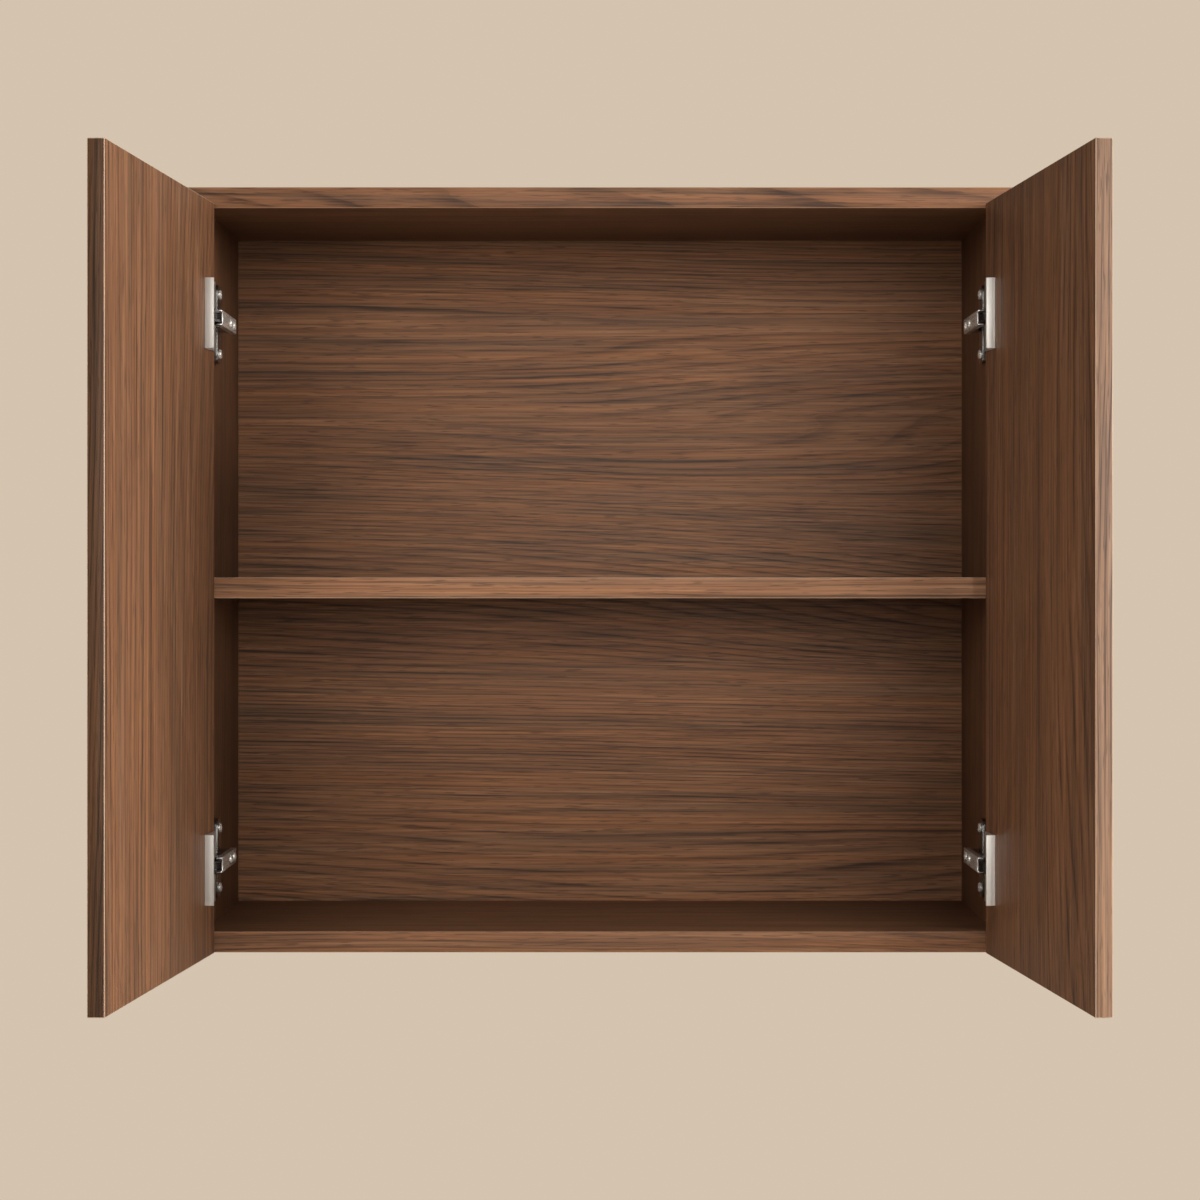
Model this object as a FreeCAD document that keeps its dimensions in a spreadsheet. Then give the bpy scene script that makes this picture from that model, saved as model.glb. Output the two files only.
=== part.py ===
import FreeCAD, Part
import os
import re

# Two-door walnut bathroom mirror cabinet, doors held open at the stop of their concealed hinges.
# Frame: +X to the right, +Z up, the front faces -Y, the wall is the plane y = 0.
# The origin lies on the wall, midway between the two screw holes of the wall cleat.

doc = FreeCAD.newDocument("mirror_cabinet")
sheet = doc.addObject("Spreadsheet::Sheet", "Sizes")

# Driving sizes, in millimetres and degrees
driving_sizes = {
    # carcass
    "cabinet_width": 600,
    "cabinet_height": 550,
    "cabinet_depth": 210,
    "board": 15,
    "back_thickness": 6,
    "back_recess": 12,
    "groove_depth": 6,
    "groove_play": 0.15,
    "groove_end_play": 0.3,
    "hang_drop": 50,
    "dowel_radius": 4,
    "dowel_in_panel": 11,
    "dowel_in_side": 18,
    "dowel_edge_inset": 40,
    "fit_play": 0.05,
    # shelf
    "shelf_thickness": 15,
    "shelf_drop": 288,
    "shelf_setback": 10,
    "shelf_side_play": 0.7,
    "shelf_back_play": 2,
    "support_radius": 2.5,
    "support_reach": 9,
    "support_in_side": 9,
    "support_inset": 37,
    "notch_height": 6,
    "notch_play": 0.3,
    # wall fixing
    "cleat_play": 0.5,
    "cleat_seat_height": 5,
    "cleat_foot_drop": 25,
    "wall_cleat_end_play": 15,
    "wall_hole_spacing": 400,
    "wall_hole_radius": 2.75,
    "wall_hole_sink_radius": 5.5,
    "spacer_height": 40,
    "batten_dowel_radius": 3,
    "batten_dowel_half": 9,
    "cleat_dowel_drop": 7,
    "spacer_dowel_inset": 10,
    # doors
    "door_thickness": 11,
    "door_gap": 3,
    "door_reveal": 1.5,
    "door_meeting_gap": 3,
    "door_top_drop": 12,
    "mirror_thickness": 3,
    "tape_thickness": 0.4,
    "mirror_lip": 6,
    "mirror_edge_play": 0.3,
    "tape_inset": 4,
    # hinge places and angles
    "hinge_top_drop": 93.5,
    "hinge_bottom_rise": 62.5,
    "open_angle": 95,
    "main_link_swing": 41.3,
    "second_link_swing": 25.9,
    # hinge pivots
    "nose_standoff": 10.95,
    "nose_setback": 3.4,
    "second_standoff": 7.55,
    "second_setback": 19.4,
    "main_pin_from_edge": 9.55,
    "main_pin_depth": 2.1,
    "second_pin_from_edge": 6.5,
    "second_pin_depth": 2.55,
    "pivot_radius": 0.8,
    "pivot_play": 0.04,
    "rivet_head_radius": 1.5,
    "rivet_head_height": 0.4,
    # hinge links
    "link_bar": 2.6,
    "link_eye_radius": 1.8,
    "main_knee_across": 6.5,
    "main_knee_forward": 9.1,
    "second_knee_across": 6.3,
    "second_knee_forward": 22.5,
    "second_bend_across": 9.8,
    "second_bend_forward": 25.9,
    "loose_eye_play": 0.85,
    "loose_eye_wall": 0.85,
    "loose_eye_shift_across": 0.63,
    "loose_eye_shift_back": 0.3,
    "second_link_half": 2,
    "main_link_inner": 2.5,
    "main_link_outer": 3.9,
    # hinge arm and mounting plate
    "arm_half": 5.4,
    "arm_sheet": 1,
    "arm_web_standoff": 12,
    "arm_web_sheet": 1.2,
    "arm_web_setback": 6.5,
    "arm_nose_setback": 1.4,
    "arm_length": 78,
    "arm_cheek_height": 4.2,
    "lug_drop": 2.4,
    "lug_half": 4,
    "plate_sheet": 3.5,
    "plate_setback": 57,
    "plate_half_width": 10,
    "plate_half_height": 29,
    "plate_screw_offset": 22,
    "plate_corner": 6,
    "ridge_start": 25,
    "plate_screw_radius": 1.9,
    "plate_screw_length": 11,
    "plate_screw_head_radius": 3.6,
    "plate_screw_head": 1.8,
    "arm_screw_radius": 2,
    "arm_screw_head_radius": 3.4,
    "arm_screw_head": 1.4,
    "side_screw_setback": 48,
    "fixing_screw_setback": 66,
    # hinge cup
    "bore_radius": 13,
    "bore_from_edge": 15.4,
    "bore_depth": 6.6,
    "cup_play": 0.1,
    "cup_sheet": 0.6,
    "flange_sheet": 1,
    "flange_from_edge": 1,
    "flange_width": 27.5,
    "flange_half_height": 25,
    "flange_corner": 1,
    "strip_sheet": 2,
    "strip_height": 6.5,
    "cup_notch_half": 5.9,
    "ear_inner": 4.3,
    "ear_outer": 5.3,
    "ear_start": 4.4,
    "ear_length": 8.6,
    "ear_drop": 0.4,
    "cup_screw_offset": 20,
    "cup_screw_radius": 1.4,
    "cup_screw_length": 5,
    "cup_screw_head_radius": 2.6,
    "cup_screw_head": 0.6,
}

for row, (alias, value) in enumerate(driving_sizes.items(), start=1):
    sheet.set("A%d" % row, alias)
    sheet.set("B%d" % row, str(value))
    sheet.setAlias("B%d" % row, alias)
doc.recompute()


def size(alias):
    """The value of one driving size as a plain number."""
    return float(sheet.get(alias))


def formula(text):
    """A formula in plain size names, written the way an expression refers to the sheet."""
    def refer(word):
        name = word.group(0)
        return "Sizes." + name if name in driving_sizes else name
    return re.sub(r"[a-z_]+", refer, text)


def bind(item, **properties):
    for name, text in properties.items():
        item.setExpression(name.replace("__", "."), formula(text))


def place(item, x, y, z):
    bind(item, Placement__Base__x=x, Placement__Base__y=y, Placement__Base__z=z)


def box(name, x, y, z):
    """A block given by its (from, to) formulas along each axis."""
    item = doc.addObject("Part::Box", name)
    for side, (start, end) in (("Length", x), ("Width", y), ("Height", z)):
        bind(item, **{side: "%s - (%s)" % (end, start)})
    place(item, x[0], y[0], z[0])
    return item


ALONG = {
    "x": FreeCAD.Rotation(FreeCAD.Vector(0, 1, 0), 90),
    "y": FreeCAD.Rotation(FreeCAD.Vector(1, 0, 0), -90),
    "z": FreeCAD.Rotation(),
}


def rod(name, axis, radius, start, end, across):
    """A round bar along one axis, from start to end, at the two other coordinates in axis order."""
    item = doc.addObject("Part::Cylinder", name)
    bind(item, Radius=radius, Height="%s - (%s)" % (end, start))
    at = dict(zip([a for a in "xyz" if a != axis], across))
    at[axis] = start
    item.Placement = FreeCAD.Placement(FreeCAD.Vector(), ALONG[axis])
    place(item, at["x"], at["y"], at["z"])
    return item


def cut(name, base, tools):
    item = doc.addObject("Part::Cut", name)
    item.Base = base
    item.Tool = tools[0] if len(tools) == 1 else fuse(name + "_cutters", tools)
    return item


def fuse(name, shapes):
    item = doc.addObject("Part::MultiFuse", name)
    item.Shapes = shapes
    item.Refine = True
    return item


def group(name, shapes):
    item = doc.addObject("Part::Compound", name)
    item.Links = shapes
    return item


def mirrored(name, source):
    item = doc.addObject("Part::Mirroring", name)
    item.Source = source
    item.Normal = FreeCAD.Vector(1, 0, 0)
    return item


SAME = 0.01  # places closer than this count as one


def round_corners(name, base, along, radius):
    """Rounds the straight outer corner edges that run along one axis."""
    doc.recompute()
    limits = base.Shape.BoundBox
    lowest = (limits.XMin, limits.YMin, limits.ZMin)
    highest = (limits.XMax, limits.YMax, limits.ZMax)
    crosswise = [axis for axis in range(3) if abs(along[axis]) < SAME]
    picked = []
    for index, edge in enumerate(base.Shape.Edges, start=1):
        if len(edge.Vertexes) != 2 or not isinstance(edge.Curve, Part.Line):
            continue
        start, end = edge.Vertexes[0].Point, edge.Vertexes[1].Point
        if (end - start).cross(along).Length > SAME:
            continue
        if all(min(start[axis] - lowest[axis], highest[axis] - start[axis]) < SAME for axis in crosswise):
            picked.append((index, radius, radius))
    item = doc.addObject("Part::Fillet", name)
    item.Base = base
    item.Edges = picked
    return item


finished = []


def finish(item, label):
    item.Label = label
    finished.append(item)
    return item


# Shared places
TOP = "hang_drop"
BOTTOM = "(hang_drop - cabinet_height)"
FRONT = "(-cabinet_depth)"
HALF = "(cabinet_width / 2)"
INSIDE = "(cabinet_width / 2 - board)"
INNER_TOP = "(hang_drop - board)"
INNER_BOTTOM = "(hang_drop - cabinet_height + board)"
BACK_REAR = "(-back_recess)"
BACK_FRONT = "(-back_recess - back_thickness)"
GROOVE = ("(-back_recess - back_thickness - groove_play)", "(-back_recess + groove_play)")
UPPER = "(hang_drop - hinge_top_drop)"
LOWER = "(hang_drop - cabinet_height + hinge_bottom_rise)"

# Dowels at the four carcass corners: three to a corner, standing in the side panels' ends
dowel_depths = ["(-dowel_edge_inset)", "(-cabinet_depth / 2)", "(dowel_edge_inset - cabinet_depth)"]
dowel_across = "(cabinet_width / 2 - board / 2)"


def corner_rods(name, radius, panel_reach, side_reach):
    """One rod at each corner dowel, reaching into the panel and into the side's end."""
    top_ends = ("%s - (%s)" % (INNER_TOP, side_reach), "%s + %s" % (INNER_TOP, panel_reach))
    low_ends = ("%s - (%s)" % (INNER_BOTTOM, panel_reach), "%s + %s" % (INNER_BOTTOM, side_reach))
    rods = []
    for hand, sign in (("left", "-"), ("right", "")):
        for number, depth in enumerate(dowel_depths):
            at = (sign + dowel_across, depth)
            code = "%s_%s%d" % (name, hand, number)
            rods.append(rod(code + "_top", "z", radius, *top_ends, at))
            rods.append(rod(code + "_low", "z", radius, *low_ends, at))
    return rods


def dowel_holes(name):
    return corner_rods(name, "dowel_radius + fit_play", "dowel_in_panel + fit_play", "dowel_in_side")


corner_dowels = corner_rods("dowel", "dowel_radius", "dowel_in_panel", "dowel_in_side")
finish(group("CornerDowels", corner_dowels), "corner_dowels")

# Top and bottom panels run over the sides and are grooved for the back
panel_heights = {
    "top_panel": ((INNER_TOP, TOP), (INNER_TOP, INNER_TOP + " + groove_depth")),
    "bottom_panel": ((BOTTOM, INNER_BOTTOM), (INNER_BOTTOM + " - groove_depth", INNER_BOTTOM)),
}
groove_reach = "(cabinet_width / 2 - board + groove_depth)"
for label, (panel_height, groove_height) in panel_heights.items():
    blank = box(label + "_blank", ("-" + HALF, HALF), (FRONT, "0"), panel_height)
    groove = box(label + "_groove", ("-" + groove_reach, groove_reach), GROOVE, groove_height)
    finish(cut(label + "_made", blank, [groove] + dowel_holes(label + "_hole")), label)

# Hanging cleat and lower spacer between the sides, behind the back panel
batten_dowel_heights = {
    "cleat_high": "(hang_drop - board - cleat_dowel_drop)",
    "spacer_high": "(hang_drop - cabinet_height + board + spacer_height - spacer_dowel_inset)",
    "spacer_low": "(hang_drop - cabinet_height + board + spacer_dowel_inset)",
}
batten_dowel_depth = "(-back_recess / 2)"


def batten_rods(name, radius, half):
    """One rod at each batten dowel, centred on the side panels' inner faces."""
    rods = []
    for hand, middle in (("left", "-" + INSIDE), ("right", INSIDE)):
        ends = ("%s - %s" % (middle, half), "%s + %s" % (middle, half))
        for spot, height in batten_dowel_heights.items():
            code = "%s_%s_%s" % (name, spot, hand)
            rods.append(rod(code, "x", radius, *ends, (batten_dowel_depth, height)))
    return rods


def batten_holes(name):
    return batten_rods(name, "batten_dowel_radius + fit_play", "batten_dowel_half")


batten_dowels = batten_rods("batten_dowel", "batten_dowel_radius", "batten_dowel_half")
finish(group("BattenDowels", batten_dowels), "batten_dowels")


def cleat(name, half_length, front, wall, front_rise, wall_rise):
    """A long strip with one 45 degree edge, from its (low, high) formulas at the front and the wall."""
    left_end = "-(%s)" % half_length
    item = doc.addObject("Part::Wedge", name)
    bind(item, Xmin=left_end, Xmax=half_length, X2min=left_end, X2max=half_length)
    bind(item, Ymin=front, Ymax=wall)
    bind(item, Zmin=front_rise[0], Zmax=front_rise[1])
    bind(item, Z2min=wall_rise[0], Z2max=wall_rise[1])
    return item


cabinet_cleat = cleat(
    "cabinet_cleat",
    INSIDE,
    BACK_REAR,
    "(-cleat_play)",
    ("cleat_seat_height + back_recess", INNER_TOP),
    ("cleat_seat_height + cleat_play", INNER_TOP),
)
finish(cut("HangingCleat", cabinet_cleat, batten_holes("cleat_hole")), "hanging_cleat")

spacer_rise = (INNER_BOTTOM, INNER_BOTTOM + " + spacer_height")
spacer = box("spacer", ("-" + INSIDE, INSIDE), (BACK_REAR, "0"), spacer_rise)
finish(cut("LowerSpacer", spacer, batten_holes("spacer_hole")), "lower_spacer")

# Wall cleat with two countersunk screw holes
CLEAT_FACE = "(cleat_play - back_recess)"
wall_strip = cleat(
    "wall_strip",
    "(%s - wall_cleat_end_play)" % INSIDE,
    CLEAT_FACE,
    "0",
    ("(-cleat_foot_drop)", "cleat_seat_height + back_recess - cleat_play"),
    ("(-cleat_foot_drop)", "cleat_seat_height"),
)
wall_holes = []
for number, sign in enumerate(("-", "")):
    spot = sign + "wall_hole_spacing / 2"
    wall_holes.append(rod("wall_hole%d" % number, "y", "wall_hole_radius", CLEAT_FACE, "0", (spot, "0")))
    sink = doc.addObject("Part::Cone", "wall_hole_sink%d" % number)
    bind(sink, Radius1="wall_hole_sink_radius", Radius2="wall_hole_radius")
    bind(sink, Height="wall_hole_sink_radius - wall_hole_radius")
    sink.Placement = FreeCAD.Placement(FreeCAD.Vector(), ALONG["y"])
    place(sink, spot, CLEAT_FACE, "0")
    wall_holes.append(sink)
finish(cut("WallCleat", wall_strip, wall_holes), "wall_cleat")

# Back panel, held in the grooves all round
tongue = "(groove_depth - groove_end_play)"
finish(
    box(
        "BackPanel",
        ("-(%s + %s)" % (INSIDE, tongue), "%s + %s" % (INSIDE, tongue)),
        (BACK_FRONT, BACK_REAR),
        ("%s - %s" % (INNER_BOTTOM, tongue), "%s + %s" % (INNER_TOP, tongue)),
    ),
    "back_panel",
)

# Shelf on four supports that sit in stopped notches, so that they don't show
SHELF_BOTTOM = "(hang_drop - shelf_drop - shelf_thickness / 2)"
SUPPORT_Z = "(hang_drop - shelf_drop - shelf_thickness / 2 + notch_height - support_radius)"
support_depths = ["(support_inset - cabinet_depth)", "(-back_recess - back_thickness - support_inset)"]


def support_rods(name, radius, reach):
    """One rod at each shelf support, from within the side panel to its reach into the cabinet."""
    buried = "(%s + support_in_side)" % INSIDE
    free = "(%s - %s)" % (INSIDE, reach)
    rods = []
    for number, depth in enumerate(support_depths):
        at = (depth, SUPPORT_Z)
        rods.append(rod("%s_left%d" % (name, number), "x", radius, "-" + buried, "-" + free, at))
        rods.append(rod("%s_right%d" % (name, number), "x", radius, free, buried, at))
    return rods


supports = support_rods("support", "support_radius", "support_reach")
finish(group("ShelfSupports", supports), "shelf_supports")

shelf_blank = box(
    "shelf_blank",
    ("-(%s - shelf_side_play)" % INSIDE, "%s - shelf_side_play" % INSIDE),
    (FRONT + " + shelf_setback", BACK_FRONT + " - shelf_back_play"),
    (SHELF_BOTTOM, SHELF_BOTTOM + " + shelf_thickness"),
)
notches = []
for number, depth in enumerate(support_depths):
    width = ("%s - support_radius - notch_play" % depth, "%s + support_radius + notch_play" % depth)
    height = (SHELF_BOTTOM, SHELF_BOTTOM + " + notch_height")
    inner = "(%s - support_reach - notch_play)" % INSIDE
    notches.append(box("notch_left%d" % number, ("-" + INSIDE, "-" + inner), width, height))
    notches.append(box("notch_right%d" % number, (inner, INSIDE), width, height))
finish(cut("Shelf", shelf_blank, notches), "shelf")

# Side panels, grooved and bored
LEFT = "(board - cabinet_width / 2)"
PLATE_Y = "(plate_setback - cabinet_depth)"
PLATE_SCREW_TIP = LEFT + " - plate_screw_length"
plate_screw_heights = []
for level in (UPPER, LOWER):
    plate_screw_heights += [level + " + plate_screw_offset", level + " - plate_screw_offset"]
side_blank = box("side_blank", ("-" + HALF, LEFT), (FRONT, "0"), (INNER_BOTTOM, INNER_TOP))
side_cuts = [box("side_groove", (LEFT + " - groove_depth", LEFT), GROOVE, (INNER_BOTTOM, INNER_TOP))]
side_cuts += dowel_holes("side_hole")
side_cuts += batten_holes("side_batten_hole")
side_cuts += support_rods("side_support_hole", "support_radius + fit_play", "0")
for number, height in enumerate(plate_screw_heights):
    name = "side_screw_hole%d" % number
    at = (PLATE_Y, height)
    side_cuts.append(rod(name, "x", "plate_screw_radius + fit_play", PLATE_SCREW_TIP, LEFT, at))
left_side = finish(cut("LeftSidePanel", side_blank, side_cuts), "left_side_panel")
finish(mirrored("RightSidePanel", left_side), "right_side_panel")

# Pivots of a left-hand hinge in the open position, seen from above
outer_face = -size("cabinet_width") / 2
inner_face = outer_face + size("board")
front_face = -size("cabinet_depth")
nose = FreeCAD.Vector(inner_face + size("nose_standoff"), front_face + size("nose_setback"), 0)
second_pivot = FreeCAD.Vector(inner_face + size("second_standoff"), front_face + size("second_setback"), 0)
closed_corner = FreeCAD.Vector(outer_face + size("door_reveal"), front_face - size("door_gap"), 0)
main_pin = FreeCAD.Vector(size("main_pin_from_edge"), -size("main_pin_depth"), 0)
second_pin = FreeCAD.Vector(size("second_pin_from_edge"), -size("second_pin_depth"), 0)
UPWARD = FreeCAD.Vector(0, 0, 1)
door_turn = FreeCAD.Rotation(UPWARD, -size("open_angle"))
main_turn = FreeCAD.Rotation(UPWARD, size("main_link_swing"))
second_turn = FreeCAD.Rotation(UPWARD, size("second_link_swing"))
main_reach = closed_corner + main_pin - nose
open_corner = nose + main_turn.multVec(main_reach) - door_turn.multVec(main_pin)
door_place = FreeCAD.Placement(open_corner, door_turn)
main_place = FreeCAD.Placement(nose, main_turn)
second_place = FreeCAD.Placement(second_pivot, second_turn)

# Doors: local x runs from the hinge edge to the free edge, local y = 0 is the inner face
DOOR_WIDTH = "(cabinet_width / 2 - door_reveal - door_meeting_gap / 2)"
DOOR_TOP = "(hang_drop - door_top_drop)"
OUTER = "(-door_thickness)"
REBATE = "(mirror_thickness + tape_thickness - door_thickness)"
CUP_SCREW_HOLE = "cup_screw_radius + fit_play"
CUP_SCREW_SEAT = "flange_sheet - cup_screw_head"
both_ways = ((0, " + "), (1, " - "))


def inset_sheet(name, inset, low, high):
    """A sheet parallel to the door, inset by the same amount on all four sides."""
    return box(
        name,
        (inset, "%s - (%s)" % (DOOR_WIDTH, inset)),
        (low, high),
        ("%s + %s" % (BOTTOM, inset), "%s - (%s)" % (DOOR_TOP, inset)),
    )


door_cuts = [inset_sheet("rebate", "mirror_lip", OUTER, REBATE)]
for level_name, level in (("upper", UPPER), ("lower", LOWER)):
    middle = ("bore_from_edge", level)
    door_cuts.append(rod(level_name + "_bore", "y", "bore_radius", "(-bore_depth)", "0", middle))
    for number, sign in both_ways:
        name = "%s_cup_screw_hole%d" % (level_name, number)
        at = ("bore_from_edge", level + sign + "cup_screw_offset")
        door_cuts.append(rod(name, "y", CUP_SCREW_HOLE, "(-cup_screw_length)", "0", at))
door = cut("LeftDoorPanel", inset_sheet("door_blank", "0", OUTER, "0"), door_cuts)
GLASS_BACK = "(mirror_thickness - door_thickness)"
glass_edge = "mirror_lip + mirror_edge_play"
glass_sheet = inset_sheet("glass_sheet", glass_edge, OUTER, GLASS_BACK)
tape_sheet = inset_sheet("tape_sheet", glass_edge + " + tape_inset", GLASS_BACK, REBATE)
mirror = group("LeftMirror", [glass_sheet])
tape = group("LeftMirrorTape", [tape_sheet])


PIVOT_HOLE = "pivot_radius + pivot_play"


def flat_rod(name, radius, low, high, spot):
    """An upright round bar at a place given in numbers."""
    return rod(name, "z", radius, low, high, ("%.6f" % spot[0], "%.6f" % spot[1]))


def bar(name, start, end, low, high):
    """A straight piece of a link between two places given in numbers."""
    item = doc.addObject("Part::Box", name)
    run = FreeCAD.Vector(end[0] - start[0], end[1] - start[1], 0)
    turn = FreeCAD.Rotation(FreeCAD.Vector(1, 0, 0), run)
    item.Length = run.Length
    bind(item, Width="link_bar", Height="%s - (%s)" % (high, low))
    half_bar = turn.multVec(FreeCAD.Vector(0, size("link_bar") / 2, 0))
    item.Placement = FreeCAD.Placement(FreeCAD.Vector(start[0], start[1], 0) - half_bar, turn)
    bind(item, Placement__Base__z=low)
    return item


def link(name, path, end_radius, end_hole, low, high):
    """A flat link on a path from its carcass pivot to the eye for the cup's pin."""
    solids = [flat_rod(name + "_pivot", "link_eye_radius", low, high, path[0])]
    for number in range(len(path) - 1):
        solids.append(bar("%s_bar%d" % (name, number), path[number], path[number + 1], low, high))
    for number, spot in enumerate(path[1:-1]):
        solids.append(flat_rod("%s_knee%d" % (name, number), "link_bar / 2", low, high, spot))
    solids.append(flat_rod(name + "_eye", end_radius, low, high, path[-1]))
    holes = [
        flat_rod(name + "_pivot_hole", PIVOT_HOLE, low, high, path[0]),
        flat_rod(name + "_eye_hole", end_hole, low, high, path[-1]),
    ]
    return cut(name, fuse(name + "_outline", solids), holes)


def rivet(name, spot, low, high, heads):
    """A pivot pin with its heads, low and high being the outer faces of the sheets it joins."""
    foot = low + " - rivet_head_height"
    head = high + " + rivet_head_height"
    solids = [flat_rod(name + "_shank", "pivot_radius", low, high, spot)]
    if "low" in heads:
        solids.append(flat_rod(name + "_foot", "rivet_head_radius", foot, low, spot))
    if "high" in heads:
        solids.append(flat_rod(name + "_head", "rivet_head_radius", high, head, spot))
    return fuse(name, solids)


def rivet_pair(name, spot, level, inner, outer):
    """Two short rivets, above and below the middle of the hinge."""
    above = ("%s + %s - pivot_play" % (level, inner), "%s + %s" % (level, outer))
    below = ("%s - %s" % (level, outer), "%s - %s + pivot_play" % (level, inner))
    return [
        rivet(name + "_above", spot, *above, ("high",)),
        rivet(name + "_below", spot, *below, ("low",)),
    ]


def hole_pair(name, spot, level, inner, outer):
    """The bores in the two cheeks or ears that take a pivot pin."""
    above = ("%s + %s" % (level, inner), "%s + %s" % (level, outer))
    below = ("%s - %s" % (level, outer), "%s - %s" % (level, inner))
    return [
        flat_rod(name + "_above", PIVOT_HOLE, *above, spot),
        flat_rod(name + "_below", PIVOT_HOLE, *below, spot),
    ]


main_knee = (-size("main_knee_across"), -size("main_knee_forward"))
second_knee = (-size("second_knee_across"), -size("second_knee_forward"))
second_bend = (-size("second_bend_across"), -size("second_bend_forward"))
eye_shift = FreeCAD.Vector(-size("loose_eye_shift_across"), size("loose_eye_shift_back"), 0)
second_reach = closed_corner + second_pin + eye_shift - second_pivot
LOOSE_HOLE = "pivot_radius + loose_eye_play"
LOOSE_EYE = "pivot_radius + loose_eye_play + loose_eye_wall"
CHEEK_INNER = "(arm_half - arm_sheet)"
PLATE_FACE = LEFT + " + plate_sheet"
WEB_LOW = LEFT + " + arm_web_standoff"
WEB_HIGH = WEB_LOW + " + arm_web_sheet"
ARM_SCREW_HOLE = "arm_screw_radius + fit_play"
FLANGE_END = "flange_from_edge + flange_width"
arm_screw_setbacks = ("side_screw_setback", "fixing_screw_setback")

plate_screws = []
arm_screws = []
nose_rivets = []
arm_rivets = []
cup_screws = []
cover_strips = []
cup_main_rivets = []
cup_second_rivets = []


def setback(alias):
    return "(%s - cabinet_depth)" % alias


def mounting_plate(name, level):
    """The winged plate on the side panel, with the ridge that carries the arm."""
    wing = box(
        name + "_wing",
        (LEFT, PLATE_FACE),
        (PLATE_Y + " - plate_half_width", PLATE_Y + " + plate_half_width"),
        (level + " - plate_half_height", level + " + plate_half_height"),
    )
    crosswise = FreeCAD.Vector(1, 0, 0)
    rounded = round_corners(name + "_wing_rounded", wing, crosswise, size("plate_corner"))
    ridge = box(
        name + "_ridge",
        (LEFT, WEB_LOW),
        (setback("ridge_start"), setback("arm_length")),
        ("%s - %s + fit_play" % (level, CHEEK_INNER), "%s + %s - fit_play" % (level, CHEEK_INNER)),
    )
    holes = []
    for number, sign in both_ways:
        code = "%s_hole%d" % (name, number)
        at = (PLATE_Y, level + sign + "plate_screw_offset")
        holes.append(rod(code, "x", "plate_screw_radius + fit_play", LEFT, PLATE_FACE, at))
    for alias in arm_screw_setbacks:
        at = (setback(alias), level)
        holes.append(rod(name + "_" + alias, "x", ARM_SCREW_HOLE, PLATE_FACE, WEB_LOW, at))
    return cut(name, fuse(name + "_solid", [rounded, ridge]), holes)


def hinge_arm(name, level):
    """The channel that stands on the ridge and carries both links in its nose."""
    web = box(
        name + "_web",
        (WEB_LOW, WEB_HIGH),
        (setback("arm_web_setback"), setback("arm_length")),
        (level + " - arm_half", level + " + arm_half"),
    )
    cheek_height = (WEB_HIGH + " - arm_cheek_height", WEB_HIGH)
    cheek_run = (setback("arm_nose_setback"), setback("arm_length"))
    lug_height = (LEFT + " + second_standoff - lug_drop", WEB_HIGH)
    lug_run = (setback("second_setback") + " - lug_half", setback("second_setback") + " + lug_half")
    cheek_sheets = {
        "above": ("%s + %s" % (level, CHEEK_INNER), level + " + arm_half"),
        "below": (level + " - arm_half", "%s - %s" % (level, CHEEK_INNER)),
    }
    solids = [web]
    for word, sheet_height in cheek_sheets.items():
        solids.append(box(name + "_cheek_" + word, cheek_height, cheek_run, sheet_height))
        solids.append(box(name + "_lug_" + word, lug_height, lug_run, sheet_height))
    holes = hole_pair(name + "_nose_hole", nose, level, CHEEK_INNER, "arm_half")
    holes += hole_pair(name + "_second_hole", second_pivot, level, CHEEK_INNER, "arm_half")
    for alias in arm_screw_setbacks:
        at = (setback(alias), level)
        holes.append(rod(name + "_" + alias, "x", ARM_SCREW_HOLE, WEB_LOW, WEB_HIGH, at))
    return cut(name, fuse(name + "_solid", solids), holes)


def screw(name, axis, radius, head_radius, lengths, across):
    """A screw with a flat round head: tip to seat is the shank, seat to top the head."""
    tip, seat, top = lengths
    shank = rod(name + "_shank", axis, radius, tip, seat, across)
    head = rod(name + "_head", axis, head_radius, seat, top, across)
    return fuse(name, [shank, head])


def flange_rise(level):
    """The height of a hinge's flange, from its lower to its upper end."""
    return (level + " - flange_half_height", level + " + flange_half_height")


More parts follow.
